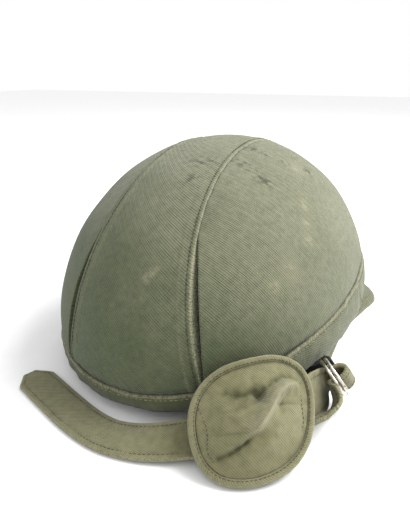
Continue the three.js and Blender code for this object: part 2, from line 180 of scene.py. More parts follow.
def grid_faces(rows: int, columns: int, offset: int = 0, flip: bool = False, joined: bool = False) -> Array:
    """Quads of a grid of points.

    Args:
        rows: Points down the grid.
        columns: Points along each row.
        offset: Number of the grid's first point.
        flip: Turns the faces over.
        joined: Joins the last column to the first.

    Returns:
        An array of four point numbers for each quad.
    """
    i, j = np.meshgrid(np.arange(rows - 1), np.arange(columns if joined else columns - 1), indexing="ij")
    k = (j + 1) % columns
    quads = np.stack([i * columns + j, i * columns + k, (i + 1) * columns + k, (i + 1) * columns + j], -1)
    quads = quads.reshape(-1, 4) + offset
    return quads[:, ::-1] if flip else quads


def border(rows: int, columns: int) -> Array:
    """Numbers of a grid's outermost points, in order round it."""
    top = np.arange(columns)
    right = np.arange(1, rows) * columns + columns - 1
    bottom = (rows - 1) * columns + np.arange(columns - 2, -1, -1)
    left = np.arange(rows - 2, 0, -1) * columns
    return np.concatenate([top, right, bottom, left])


def wall_faces(first: Array, second: Array) -> Array:
    """Quads between two closed rows of point numbers."""
    return np.stack([first, np.roll(first, -1), np.roll(second, -1), second], -1)


def new_object(
    name: str,
    points: Array,
    faces: Sequence[Sequence[int]],
    material: bpy.types.Material,
    cloth: Union[Array, None] = None,
    marks: Union[dict[str, Array], None] = None,
) -> bpy.types.Object:
    """Makes an object whose place is in its mesh, with its faces pointing out.

    Args:
        name: The object's name.
        points: Its points in the table's frame, in millimetres.
        faces: Point numbers of its faces.
        material: Its finish.
        cloth: The place of each point on the flat cloth, in millimetres.
        marks: Values for each point that its finish reads by name.

    Returns:
        The object, linked to the scene.
    """
    mesh = bpy.data.meshes.new(name)
    where = (points.reshape(-1, 3) + TO_ROW) * MM
    mesh.from_pydata(where.tolist(), [], [list(map(int, f)) for f in faces])
    mesh.update()
    signed = sum(polygon.center.dot(polygon.normal) * polygon.area for polygon in mesh.polygons)
    if signed < 0:
        mesh.flip_normals()
    if cloth is not None:
        flat = cloth.reshape(-1, 2)
        corners = np.empty(len(mesh.loops), dtype=np.int32)
        mesh.loops.foreach_get("vertex_index", corners)
        mesh.uv_layers.new(name="cloth").data.foreach_set("uv", flat[corners].astype(np.float32).ravel())
    for key, values in (marks or {}).items():
        layer = mesh.attributes.new(key, "FLOAT", "POINT")
        layer.data.foreach_set("value", values.reshape(-1).astype(np.float32))
    mesh.polygons.foreach_set("use_smooth", [True] * len(mesh.polygons))
    mesh.materials.append(material)
    made = bpy.data.objects.new(name, mesh)
    bpy.context.scene.collection.objects.link(made)
    return made


def padded_object(
    name: str, outer: Surface, inner: Surface, material: bpy.types.Material
) -> bpy.types.Object:
    """Makes a solid between two grids of the same size, closed all round.

    Args:
        name: The object's name.
        outer: Its outside.
        inner: Its inside.
        material: Its finish.

    Returns:
        The object.
    """
    rows, columns = outer.points.shape[:2]
    count = rows * columns
    edge = border(rows, columns)
    faces = [
        *grid_faces(rows, columns),
        *grid_faces(rows, columns, count, flip=True),
        *wall_faces(edge, edge + count)[:, ::-1],
    ]
    points = np.concatenate([outer.points.reshape(-1, 3), inner.points.reshape(-1, 3)])
    cloth = np.concatenate([outer.cloth.reshape(-1, 2), inner.cloth.reshape(-1, 2)])
    marks = {
        key: np.concatenate([outer.marks[key].ravel(), inner.marks.get(key, np.zeros(count)).ravel()])
        for key in outer.marks
    }
    return new_object(name, points, faces, material, cloth, marks)


class Nodes:
    """Short way to add and join nodes in one tree."""

    def __init__(self, tree: bpy.types.NodeTree) -> None:
        """Keeps the tree that nodes go into."""
        self.tree = tree

    def join(self, node: bpy.types.Node, inputs: dict) -> None:
        """Gives a node's inputs, by name or number, the value or the link that each takes."""
        for key, value in inputs.items():
            if isinstance(value, bpy.types.NodeSocket):
                self.tree.links.new(value, node.inputs[key])
            else:
                node.inputs[key].default_value = value

    def add(self, kind: str, inputs: Union[dict, None] = None, **settings: object) -> bpy.types.Node:
        """Adds a node.

        Args:
            kind: The node's type.
            inputs: A value or a socket for each input, by name or number.
            settings: Properties of the node.

        Returns:
            The node.
        """
        node = self.tree.nodes.new(kind)
        for key, value in settings.items():
            setattr(node, key, value)
        self.join(node, inputs or {})
        return node

    def math(self, operation: str, *values: Union[float, Socket]) -> Socket:
        """Result of a Math node on values or sockets."""
        return self.add("ShaderNodeMath", dict(enumerate(values)), operation=operation).outputs[0]

    def step(self, value: Socket, low: float, high: float) -> Socket:
        """Smooth step of a value, from 0 at low to 1 at high."""
        inputs = {"Value": value, "From Min": low, "From Max": high}
        return self.add("ShaderNodeMapRange", inputs, interpolation_type="SMOOTHSTEP").outputs[0]

    def mark(self, name: str) -> Socket:
        """Value of a named attribute of the mesh."""
        return self.add("ShaderNodeAttribute", attribute_name=name).outputs["Fac"]

    def noise(self, where: Socket, scale: float, detail: float = 3.0) -> Socket:
        """Noise of a scale, read at a place."""
        return self.add("ShaderNodeTexNoise", {"Vector": where, "Scale": scale, "Detail": detail}).outputs[0]

    def blend(self, share: Socket, first: Union[Socket, tuple], second: Union[Socket, tuple]) -> Socket:
        """Colour between two others."""
        inputs = {"Factor": share, 6: first, 7: second}
        return self.add("ShaderNodeMix", inputs, data_type="RGBA").outputs[2]


def new_material(name: str) -> tuple[bpy.types.Material, Nodes, bpy.types.Node, Socket]:
    """Makes an empty material.

    Args:
        name: Its name.

    Returns:
        The material, its nodes, its shader and the place on the object.
    """
    made = bpy.data.materials.new(name)
    made.use_nodes = True
    nodes = Nodes(made.node_tree)
    where = nodes.add("ShaderNodeTexCoord").outputs["Object"]
    return made, nodes, made.node_tree.nodes["Principled BSDF"], where


class Weave(Enum):
    """How the threads of a cloth cross."""

    PLAIN = "plain"
    RIBBED = "ribbed"


@dataclass(frozen=True)
class Canvas:
    """Woven cotton with wear, stains and scuffs where the mesh marks them, and with painted light and shade.

    Lengths are in millimetres and `turned` is the weave's turn on the cloth, in degrees.
    """

    name: str
    dyed: Colour
    # Dirt, and painted shade in the weave's hollows, seams, creases and under the rim
    shaded_and_soiled: Colour
    # Sun fading, and painted light on the sides that face the lamp
    faded_and_lit: Colour
    # Wear and scuffs, and painted highlights on ridges and lips
    worn_and_lit: Colour = (152, 147, 121)
    stained: Colour = (50, 43, 33)
    weave: Weave = Weave.PLAIN
    pitch: float = 1.3
    turned: float = 0.0
    depth: float = 0.6
    slant: float = 0.4
    # Painted shade, with some dirt, in the hollows between threads
    shade_and_dirt_in_gaps: float = 0.62

    def threads(self, nodes: Nodes) -> Socket:
        """Height of the weave, 0 to 1, over the cloth's own places."""
        flat = nodes.add("ShaderNodeUVMap", uv_map="cloth").outputs[0]
        spin = (0, 0, math.radians(self.turned))
        turned = nodes.add("ShaderNodeMapping", {"Vector": flat, "Rotation": spin})
        split = nodes.add("ShaderNodeSeparateXYZ", {0: turned.outputs[0]})
        turns = 2 * math.pi / self.pitch
        across = nodes.math("SINE", nodes.math("MULTIPLY", split.outputs[0], turns))
        along = nodes.math("SINE", nodes.math("MULTIPLY", split.outputs[1], turns))
        if self.weave is Weave.RIBBED:
            return nodes.math("MULTIPLY_ADD", across, 0.5, 0.5)
        crossed = nodes.math("MULTIPLY", across, along)
        diagonal = nodes.math("ADD", *split.outputs[:2])
        slanting = nodes.math("SINE", nodes.math("MULTIPLY", diagonal, turns * 0.75))
        plain = nodes.math("MULTIPLY", crossed, 1 - self.slant)
        mixed = nodes.math("MULTIPLY_ADD", slanting, self.slant, plain)
        return nodes.math("MULTIPLY_ADD", mixed, 0.5, 0.5)

    def build(self) -> bpy.types.Material:
        """Makes the material.

        Returns:
            The material.
        """
        made, nodes, shader, where = new_material(self.name)
        threads = self.threads(nodes)
        broad, fine = nodes.noise(where, 28.0, 4.0), nodes.noise(where, 260.0, 4.0)
        slub = nodes.noise(where, 900.0, 2.0)
        # Paler with sun fading and painted light where the mesh marks the sides facing the lamp, broken up by
        # random tone
        fade_and_light = nodes.math("ADD", nodes.mark("fade_and_painted_light"), nodes.math("MULTIPLY_ADD", broad, 1.1, -0.55))
        colour = nodes.blend(nodes.step(fade_and_light, -0.1, 1.1), linear(self.dyed), linear(self.faded_and_lit))
        # Darker in the hollows between threads with painted shade, and mottled with dirt by the fine noise
        gaps = nodes.math("MULTIPLY", nodes.math("SUBTRACT", 1.0, threads), self.shade_and_dirt_in_gaps)
        shade_and_dirt = nodes.math("ADD", gaps, nodes.math("MULTIPLY_ADD", fine, 0.5, -0.25))
        colour = nodes.blend(nodes.step(shade_and_dirt, 0.0, 0.95), colour, linear(self.shaded_and_soiled))
        # Each mark, the grain that breaks it up and where that begins and is full, its strength and colour;
        # the first is painted shade in seams, creases and under the rim, and the second is wear with painted
        # highlights on ridges and lips
        for mark, grain, low, high, strength, tint in (
            ("painted_shade", fine, 0.2, 0.6, 0.85, self.shaded_and_soiled),
            ("wear_and_highlight", slub, 0.3, 0.62, 0.75, self.worn_and_lit),
            ("scuff", fine, 0.38, 0.62, 0.6, self.worn_and_lit),
            ("stain", fine, 0.42, 0.6, 0.8, self.stained),
        ):
            broken = nodes.math("MULTIPLY", nodes.mark(mark), nodes.step(grain, low, high))
            colour = nodes.blend(nodes.math("MULTIPLY", broken, strength), colour, linear(tint))
        height = nodes.math("ADD", threads, nodes.math("MULTIPLY", slub, 0.8))
        relief = {"Height": height, "Distance": self.depth * MM, "Strength": 0.7}
        nodes.join(shader, {
            "Base Color": colour,
            "Roughness": nodes.math("MULTIPLY_ADD", fine, 0.12, 0.84),
            "Normal": nodes.add("ShaderNodeBump", relief).outputs[0],
            "Sheen Weight": 0.18,
            "Sheen Roughness": 0.5,
            "Specular IOR Level": 0.25,
        })
        return made


@dataclass(frozen=True)
class Thread:
    """Cotton sewing thread."""

    name: str
    colour: Colour
    shade: Colour

    def build(self) -> bpy.types.Material:
        """Makes the material."""
        made, nodes, shader, where = new_material(self.name)
        share = nodes.step(nodes.noise(where, 700.0), 0.3, 0.7)
        twist = nodes.add("ShaderNodeTexWave", {"Vector": where, "Scale": 900.0, "Distortion": 1.5})
        relief = {"Height": twist.outputs["Fac"], "Distance": 0.1 * MM, "Strength": 0.6}
        nodes.join(shader, {
            "Base Color": nodes.blend(share, linear(self.shade), linear(self.colour)),
            "Roughness": 0.8,
            "Normal": nodes.add("ShaderNodeBump", relief).outputs[0],
        })
        return made


@dataclass(frozen=True)
class Nickel:
    """Bright plated wire, a little scratched and tarnished."""

    name: str = "bright_nickel"
    bright: Colour = (226, 222, 214)
    tarnished: Colour = (150, 138, 118)

    def build(self) -> bpy.types.Material:
        """Makes the material."""
        made, nodes, shader, where = new_material(self.name)
        tarnish = nodes.step(nodes.noise(where, 420.0, 5.0), 0.45, 0.7)
        scratches = nodes.noise(where, 1500.0, 4.0)
        nodes.join(shader, {
            "Base Color": nodes.blend(tarnish, linear(self.bright), linear(self.tarnished)),
            "Roughness": nodes.math("MULTIPLY_ADD", scratches, 0.3, 0.1),
            "Metallic": 1.0,
        })
        return made


@dataclass(frozen=True)
class Table:
    """Matt white paper."""

    name: str = "white_paper"
    light: Colour = (246, 246, 247)
    shade: Colour = (243, 243, 244)

    def build(self) -> bpy.types.Material:
        """Makes the material."""
        made, nodes, shader, where = new_material(self.name)
        grain = nodes.step(nodes.noise(where, 40.0, 3.0), 0.3, 0.7)
        colour = nodes.blend(grain, linear(self.shade), linear(self.light))
        nodes.join(shader, {"Base Color": colour, "Roughness": 0.9})
        return made


@dataclass(frozen=True)
class Finishes:
    """Every finish of the helmet, made once."""

    panel: bpy.types.Material
    slanted: bpy.types.Material
    band: bpy.types.Material
    strap: bpy.types.Material
    webbing: bpy.types.Material
    wire: bpy.types.Material
    pale_thread: bpy.types.Material
    brown_thread: bpy.types.Material

    @classmethod
    def make(cls) -> "Finishes":
        """Builds all of them."""
        # Each cloth: its dye, dirt with painted shade, fading with painted light, and for the black one its
        # wear with painted highlights
        olive = dict(dyed=(82, 92, 63), shaded_and_soiled=(42, 48, 31), faded_and_lit=(126, 127, 102))
        worn_olive = dict(dyed=(80, 87, 59), shaded_and_soiled=(44, 48, 31), faded_and_lit=(120, 122, 97))
        khaki = dict(dyed=(121, 120, 84), shaded_and_soiled=(54, 53, 33), faded_and_lit=(142, 139, 107))
        black = dict(dyed=(20, 20, 20), shaded_and_soiled=(8, 8, 8), faded_and_lit=(34, 34, 33), worn_and_lit=(60, 60, 58))
        return cls(
            panel=Canvas("olive_canvas", **olive).build(),
            slanted=Canvas("olive_canvas_slanted", turned=38.0, **olive).build(),
            band=Canvas("band_canvas", **worn_olive).build(),
            strap=Canvas("khaki_canvas", pitch=1.15, **khaki).build(),
            webbing=Canvas("black_webbing", weave=Weave.RIBBED, pitch=1.5, **black).build(),
            wire=Nickel().build(),
            pale_thread=Thread("pale_thread", (148, 143, 114), (108, 103, 78)).build(),
            brown_thread=Thread("brown_thread", (70, 63, 43), (44, 39, 27)).build(),
        )


class StitchTree:
    """Geometry Nodes tree that lays stitches along lines."""

    def __init__(self) -> None:
        """Builds the tree with its named inputs."""
        self.group = bpy.data.node_groups.new("stitches_along_lines", "GeometryNodeTree")
        face = self.group.interface
        face.new_socket("Lines", in_out="INPUT", socket_type="NodeSocketGeometry")
        self.sockets = {
            name: face.new_socket(name, in_out="INPUT", socket_type=kind).identifier
            for name, kind in (
                ("Pitch", "NodeSocketFloat"), ("Length", "NodeSocketFloat"), ("Thickness", "NodeSocketFloat"),
                ("Seed", "NodeSocketInt"), ("Thread", "NodeSocketMaterial"),
            )
        }
        face.new_socket("Stitches", in_out="OUTPUT", socket_type="NodeSocketGeometry")
        nodes = Nodes(self.group)
        given = nodes.add("NodeGroupInput").outputs
        curve = nodes.add("GeometryNodeMeshToCurve", {"Mesh": given["Lines"]}).outputs[0]
        along = {"Curve": curve, "Length": given["Pitch"]}
        spaced = nodes.add("GeometryNodeCurveToPoints", along, mode="LENGTH")
        bead = nodes.add("GeometryNodeMeshUVSphere", {"Segments": 6, "Rings": 5, "Radius": 0.5})
        sides = {0: given["Thickness"], 1: given["Thickness"], 2: given["Length"]}
        size = nodes.add("ShaderNodeCombineXYZ", sides)
        shape = {"Geometry": bead.outputs[0], "Scale": size.outputs[0]}
        stitch = nodes.add("GeometryNodeTransform", shape)
        lean = {0: (-0.1, -0.1, 0.0), 1: (0.1, 0.1, 0.0), "Seed": given["Seed"]}
        tilt = nodes.add("FunctionNodeRandomValue", lean, data_type="FLOAT_VECTOR")
        turn = nodes.add("FunctionNodeEulerToRotation", {0: tilt.outputs[0]})
        both = nodes.add(
            "FunctionNodeRotateRotation",
            {"Rotation": spaced.outputs["Rotation"], "Rotate By": turn.outputs[0]}, rotation_space="LOCAL",
        )
        laid = nodes.add(
            "GeometryNodeInstanceOnPoints",
            {"Points": spaced.outputs[0], "Instance": stitch.outputs[0], "Rotation": both.outputs[0]},
        )
        real = nodes.add("GeometryNodeRealizeInstances", {0: laid.outputs[0]})
        dyed = nodes.add("GeometryNodeSetMaterial", {0: real.outputs[0], "Material": given["Thread"]})
        nodes.add("NodeGroupOutput", {0: dyed.outputs[0]})

    def sew(
        self,
        name: str,
        lines: Sequence[Array],
        thread: bpy.types.Material,
        slot: str,
        pitch: float = 2.7,
        length: float = 2.0,
        thickness: float = 0.62,
        seed: int = 1,
    ) -> bpy.types.Object:
        """slot: Name of the canvas that it sews; not used.
            pitch: Distance from stitch to stitch.
            length: Length of one stitch.
            thickness: Thickness of the thread.
            seed: Fixes how the stitches tilt.

        Returns:
            The piece.
        """
        points = (np.concatenate(lines) + TO_ROW) * MM
        starts = np.cumsum([0, *map(len, lines)])
        edges = [(i, i + 1) for a, b in zip(starts, starts[1:]) for i in range(a, b - 1)]
        path = bpy.data.meshes.new(name + "_path")
        path.from_pydata(points.tolist(), [(int(a), int(b)) for a, b in edges], [])
        made = bpy.data.objects.new(name, path)
        bpy.context.scene.collection.objects.link(made)
        modifier = made.modifiers.new("stitches", "NODES")
        modifier.node_group = self.group
        sizes = {"Pitch": pitch * MM, "Length": length * MM, "Thickness": thickness * MM}
        for key, value in {**sizes, "Seed": seed, "Thread": thread}.items():
            modifier[self.sockets[key]] = value
        evaluated = made.evaluated_get(bpy.context.evaluated_depsgraph_get())
        mesh = bpy.data.meshes.new_from_object(evaluated)
        mesh.name = name
        made.modifiers.clear()
        made.data = mesh
        bpy.data.meshes.remove(path)
        mesh.polygons.foreach_set("use_smooth", [True] * len(mesh.polygons))
        dress(made, None)
        return made


@dataclass(frozen=True)
class Stance:
    """How the crown stands on its curtain, leaning back."""

    pitch: float = 8.06
    roll: float = -2.47
    lift: float = 18.3

    def matrix(self) -> Array:
        """Turn from the crown's own frame to the table's."""
        pitch = Matrix.Rotation(math.radians(self.pitch), 3, "X")
        roll = Matrix.Rotation(math.radians(self.roll), 3, "Y")
        return np.array(pitch @ roll)

    def place(self, points: Array) -> Array:
        """Points of the crown's own frame in the table's."""
        return points @ self.matrix().T + np.array([0, 0, self.lift])

    def turn(self, ways: Array) -> Array:
        """Directions of the crown's own frame in the table's."""
        return ways @ self.matrix().T


@dataclass(frozen=True)
class Dome:
    """Shape that the crown's canvas is cut to: a dome a little squarer than an ellipsoid."""

    half_width: float = 107.7
    front_reach: float = 138.8
    back_reach: float = 131.2
    widest_at: float = 11.3
    rise: float = 115.4
    roll_in: float = 29.1
    power: float = 2.05
    front_level: float = 19.2
    side_lift: float = 14.4
    back_lift: float = 6.2
    rim_levels: tuple[float, ...] = (7.6, 8.4, 7.4, 6.2, 8, 10, 11, 10.4, 8.6, 4, 3.6, 7)

    def seam_level(self, angle: Array) -> Array:
        """Height of the seam between crown and hem band at an angle round the head."""
        back = np.maximum(np.sin(angle), 0) ** 2
        return self.front_level + self.side_lift * np.cos(angle) ** 2 + self.back_lift * back

    def rim_height(self, angle: Array) -> Array:
        """Height of the hem band's underside at an angle round the head."""
        levels = np.array([(0, 0, h) for h in self.rim_levels])
        line = Spline(levels, closed=True, even=True)
        return line.at(np.ravel(angle) / (2 * np.pi))[:, 2].reshape(np.shape(angle))

    def point(self, angle: Array, height: Array, inset: float = 0.0) -> Array:
        """Point of the dome at an angle round the head and a height.

        Args:
            angle: Angle from the wearer's left ear, in radians.
            height: Height over the rim.
            inset: How far inside the canvas.

        Returns:
            Points in the crown's own frame.
        """
        angle, height = np.broadcast_arrays(angle, height)
        depth = np.where(height >= self.widest_at, self.rise - inset, self.roll_in)
        share = np.minimum(np.abs(height - self.widest_at) / depth, 1)
        swell = (1 - share**self.power) ** (1 / self.power)
        reach = np.where(np.sin(angle) < 0, self.front_reach, self.back_reach) - inset
        across = signed_power(np.cos(angle), 2 / self.power)
        along = signed_power(np.sin(angle), 2 / self.power)
        return np.stack([(self.half_width - inset) * swell * across, reach * swell * along, height], -1)

    def angle_of(self, points: Array) -> Array:
        """Angle round the head of points on or near the dome."""
        half = self.power / 2
        reach = np.where(points[..., 1] < 0, self.front_reach, self.back_reach)
        return np.arctan2(
            signed_power(points[..., 1] / reach, half), signed_power(points[..., 0] / self.half_width, half)
        )

    def normal(self, points: Array) -> Array:
        """Outward unit vectors of the dome at points on it."""
        x, y, z = points[..., 0], points[..., 1], points[..., 2] - self.widest_at
        b = np.where(y < 0, self.front_reach, self.back_reach)
        c = np.where(z < 0, self.roll_in, self.rise)
        q = self.power - 1
        sides = ((x, self.half_width), (y, b), (z, c))
        return unit(np.stack([signed_power(v, q) / size**self.power for v, size in sides], -1))


def bisect(value: Callable[[Array], Array], low: Array, high: Array, rounds: int = 36) -> Array:
    """Places where a rising value passes zero.

    Args:
        value: Function from places to values.
        low: Places where it is below zero.
        high: Places where it is above zero.
        rounds: How many times the stretch is halved.

    Returns:
        The places.
    """
    low, high = np.array(low, float), np.array(high, float)
    for _ in range(rounds):
        middle = (low + high) / 2
        under = value(middle) < 0
        low, high = np.where(under, middle, low), np.where(under, high, middle)
    return (low + high) / 2


@dataclass
class Crown:
    """Three padded canvas panels: a strip from brow to nape and a panel on each side."""

    dome: Dome
    stance: Stance
    wall: float = 20.0
    half_gap: float = 0.15
    strip_at_rim: float = 50.6
    strip_at_top: float = 26.6
    ridge_width: float = 6.4
    ridge_height: float = 0.55
    stitch_inset: float = 2.2
    tuck_depth: float = 1.1
    tuck_reach: float = 1.6
    middle_radius: float = 118.0
    rows: int = 190
    side_rows: int = 90
    side_columns: int = 200

    # Way towards the lamp and the sun that faded it, in the table's frame; panels facing it are painted paler
    LAMP_AND_SUN_WAY = (0.5, 0.12, 0.86)

    # Puckers beside the seams, and the padding's unevenness under the canvas
    STRIP_PUCKER, STRIP_PADDING = Ripple(0.2, 9, 4), Ripple(0.22, 42, 5)
    SIDE_PUCKER, SIDE_PADDING = Ripple(0.22, 10, 7), Ripple(0.25, 46, 8)

    # Dark stains and pale scuffs on the canvas: place in the crown's own frame and radius
    STAINS = (
        (-7.8, -13.9, 125.9, 4), (11.2, -34.3, 122.9, 6), (20.1, -31, 122.2, 3), (14.7, -52.3, 117.8, 4),
        (34.1, -21.8, 119.9, 5), (42.6, -25.2, 116, 3), (49.1, -28.8, 112.3, 4), (32.5, 2, 121.7, 5),
        (41.5, 2.4, 118.4, 3), (53.9, 6.8, 112, 4), (54.6, -28.2, 109.1, 3), (65.8, 17.9, 102.7, 4),
    )
    SCUFFS = (
        (60.7, 9, 107.4, 6), (74.9, -22.2, 93.7, 5), (79, -32, 86, 4), (83.1, -41.2, 78.4, 4),
        (78.7, -65.8, 70.8, 5), (73.5, -79.3, 67, 4), (11.2, -111.8, 80.4, 3), (13.8, -109, 83, 2.5),
        (16.3, -105.9, 85.5, 2),
    )

    def half_strip(self, height: Array) -> Array:
        """Half the strip's width at a height over the rim."""
        top = self.dome.widest_at + self.dome.rise
        return self.strip_at_rim - (self.strip_at_rim - self.strip_at_top) * height / top

    def spots(self, points: Array, places: Sequence[tuple]) -> Array:
        """Strength, 0 to 1, of round spots at points of the crown's own frame."""
        total = np.zeros(points.shape[:-1])
        for x, y, z, radius in places:
            total += np.exp(-((points - np.array([x, y, z])) ** 2).sum(-1) / radius**2)
        return np.minimum(total, 1)

    def over_seam(self, grid: Array) -> Array:
        """Height of points over the seam between crown and hem band."""
        return grid[..., 2] - self.dome.seam_level(self.dome.angle_of(grid))

    def dress_panel(self, grid: Array, lift: Array, wear_and_highlight: Array, painted_shade: Array, cloth: Array) -> Surface:
        """Outside of a panel, tucked in along the hem.

        Args:
            grid: Its points on the dome.
            lift: How far each stands out from the dome.
            wear_and_highlight: How worn each is, 0 to 1.
            painted_shade: How much painted shade darkens its seams, besides that of the hem.
            cloth: Its places on the flat cloth.

        Returns:
            The surface, in the table's frame.
        """
        normals = self.dome.normal(grid)
        lift = lift - self.tuck_depth * np.exp(-self.over_seam(grid) / self.tuck_reach)
        # Faded and painted paler where the panel faces the lamp and the sun
        shone_on = self.stance.turn(normals) @ unit(np.array(self.LAMP_AND_SUN_WAY))
        marks = {
            "fade_and_painted_light": smooth(shone_on, -0.15, 1.05),
            "wear_and_highlight": wear_and_highlight,
            "painted_shade": painted_shade,
            "stain": self.spots(grid, self.STAINS),
            "scuff": self.spots(grid, self.SCUFFS),
        }
        return Surface(self.stance.place(grid + normals * lift[..., None]), cloth, marks)

    def strip_point(self, share: Array, inward: Array, climb: Array, side: Array, inset: float) -> Array:
        """Point of the strip.

        Args:
            share: Share of the strip's half width at which the point lies.
            inward: How far inside that, in millimetres.
            climb: Angle over the head from brow to nape, in radians.
            side: 1 for the wearer's left, -1 for the right.
            inset: How far inside the canvas.

        Returns:
            Points in the crown's own frame.
        """
        d, p = self.dome, self.dome.power
        a, c = d.half_width - inset, d.rise - inset
        b = np.where(np.cos(climb) > 0, d.front_reach, d.back_reach) - inset
        z = d.widest_at + c * np.sin(climb) ** (2 / p)
        for _ in range(14):
            x = np.maximum(share * (self.half_strip(z) - self.half_gap) - inward, 0)
            k = (1 - (x / a) ** p) ** (1 / p)
            z = d.widest_at + c * k * np.sin(climb) ** (2 / p)
        y = -b * k * signed_power(np.cos(climb), 2 / p)
        return np.stack([side * x, y, z], -1)

    def strip_grid(self, inset: float) -> tuple[Array, Array]:
        """Grid of the strip from brow to nape, and the distance of each column from its edge."""
        edge = np.array([0, 0.3, 0.7, 1.2, 1.7, 2.2, 2.7, 3.4, 4.2, 5, 5.6, 6.2, 6.8, 7.4, 8.2, 10, 13])
        inner = np.linspace(1, 0, 13)[1:]
        share = np.concatenate([np.ones(len(edge)), inner])
        inward = np.concatenate([edge, edge[-1] * inner])
        share, inward = np.concatenate([share, share[-2::-1]]), np.concatenate([inward, inward[-2::-1]])
        half = len(share) // 2
        side = np.where(np.arange(len(share)) <= half, 1.0, -1.0)

        def over(climb: Array) -> Array:
            """Height over the seam."""
            return self.over_seam(self.strip_point(share, inward, climb, side, inset))

        none, quarter = np.full(len(share), 0.002), np.full(len(share), np.pi / 2)
        first = bisect(over, none, quarter)
        last = np.pi - bisect(lambda back: over(np.pi - back), none, quarter)
        climb = first + (last - first) * np.linspace(0, 1, self.rows)[:, None]
        return self.strip_point(share, inward, climb, side, inset), np.broadcast_to(inward, climb.shape)

    def side_grid(self, direction: int, inset: float) -> Array:
        """Grid of a side panel, from the hem up to the strip."""
        d = self.dome

        def over(angle: Array) -> Array:
            """How far inside the strip's edge a point of the seam lies."""
            level = d.seam_level(angle)
            return self.half_strip(level) + self.half_gap - d.point(angle, level, inset)[..., 0]

        corners = [sign * bisect(lambda t, s=sign: over(s * t), 0.2, 1.5) for sign in (-1, 1)]
        angle = np.linspace(corners[0] * 0.995, corners[1] * 0.995, self.side_columns)
        start = d.seam_level(angle)
        top = bisect(
            lambda z: self.half_strip(z) + self.half_gap - d.point(angle, z, inset)[..., 0],
            start, np.full_like(start, d.widest_at + d.rise - inset - 0.01),
        )
        full = d.rise - inset
        turns = [
            np.arcsin(np.clip((level - d.widest_at) / full, 0, 1) ** (d.power / 2)) for level in (start, top)
        ]
        climb = turns[0] + (turns[1] - turns[0]) * np.linspace(0, 1, self.side_rows)[:, None]
        height = d.widest_at + full * np.sin(climb) ** (2 / d.power)
        grid = d.point(np.broadcast_to(angle, height.shape), height, inset)
        return grid * np.array([direction, 1, 1])

    def dress_strip(self) -> tuple[Surface, Surface]:
        """Outside and inside of the strip, with its raised edges."""
        grid, _ = self.strip_grid(0.0)
        inward = self.half_strip(grid[..., 2]) - self.half_gap - np.abs(grid[..., 0])
        sewn, folded = inward - self.stitch_inset, inward - self.ridge_width
        raised = self.ridge_height * (1 - smooth(inward, self.ridge_width - 0.4, self.ridge_width + 1.2))
        raised = raised - 0.3 * bell(inward, 0.4) - 0.28 * bell(sewn, 0.5)
        pucker = self.STRIP_PUCKER.at(grid) * np.exp(-np.abs(folded) / 5)
        wear_and_highlight = 0.85 * bell(inward, 0.6) + 0.3 * bell(folded, 0.9)
        # Painted shade in the groove at the hem and along the sunk stitch line
        painted_shade = 0.9 * bell(self.over_seam(grid), 2.2) + 0.35 * bell(sewn, 0.7)
        steps = np.linalg.norm(np.diff(grid, axis=0, prepend=grid[:1]), axis=-1)
        cloth = np.stack([grid[..., 0], np.cumsum(steps, axis=0)], -1)
        lift = raised + pucker + self.STRIP_PADDING.at(grid)
        outer = self.dress_panel(grid, lift, wear_and_highlight, painted_shade, cloth)
        inner, _ = self.strip_grid(self.wall)
        return outer, Surface(self.stance.place(inner), cloth)

    def dress_side(self, direction: int) -> tuple[Surface, Surface]:
        """Outside and inside of a side panel, its cloth spread flat round its middle."""
        grid = self.side_grid(direction, 0.0)
        beside = np.abs(grid[..., 0]) - self.half_strip(grid[..., 2])
        pucker = self.SIDE_PUCKER.at(grid) * np.exp(-beside / 9)
        lift = pucker + self.SIDE_PADDING.at(grid) - 0.2 * np.exp(-beside / 0.9)
        # Painted shade in the groove at the hem and beside the strip's raised seam
        painted_shade = 0.8 * bell(self.over_seam(grid), 2.2) + 0.35 * bell(beside, 0.8)
        middle = unit(np.array([direction, 0, 0.55]))
        first = unit(np.cross([0, 0, 1], middle))
        second = np.cross(middle, first)
        way = unit(grid)
        angle = np.arccos(np.clip(way @ middle, -1, 1))
        spread = self.middle_radius * angle / np.maximum(np.sin(angle), 1e-6)
        cloth = np.stack([spread * (way @ first), spread * (way @ second)], -1)
        outer = self.dress_panel(grid, lift, np.zeros_like(lift), painted_shade, cloth)
        return outer, Surface(self.stance.place(self.side_grid(direction, self.wall)), cloth)

    def build(self, finishes: Finishes, stitches: StitchTree) -> list[bpy.types.Object]:
        """Makes the panels and their seams.

        Args:
            finishes: The helmet's finishes.
            stitches: The tree that sews.

        Returns:
            The pieces made.
        """
        made = []
        for name, finish, pair in (
            ("crown_strip_canvas", finishes.panel, self.dress_strip()),
            ("crown_left_canvas", finishes.slanted, self.dress_side(1)),
            ("crown_right_canvas", finishes.slanted, self.dress_side(-1)),
        ):
            piece = padded_object(name, *pair, finish)
            dress(piece, name.replace("_canvas", ""))
            made.append(piece)
        grid, inward = self.strip_grid(0.0)
        column = int(np.argmin(np.abs(inward[0] - self.stitch_inset)))
        lines = []
        for j in (column, grid.shape[1] - 1 - column):
            line = grid[1:-1, j]
            lines.append(self.stance.place(line + self.dome.normal(line) * (self.ridge_height - 0.12)))
        seam = stitches.sew("strip_stitches", lines, finishes.brown_thread, "olive_canvas", seed=3)
        return [*made, seam]


def dress(piece: bpy.types.Object, node: Union[str, None]) -> None:
    """Ties a piece to the model's body, and hides the solid that it stands for.

    Args:
        piece: The finished piece.
        node: The CAD solid that it replaces, if it does.
    """
    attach(piece, "root")
    if node:
        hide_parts(node)
    LOG.info("%s: %d faces", piece.name, len(piece.data.polygons))


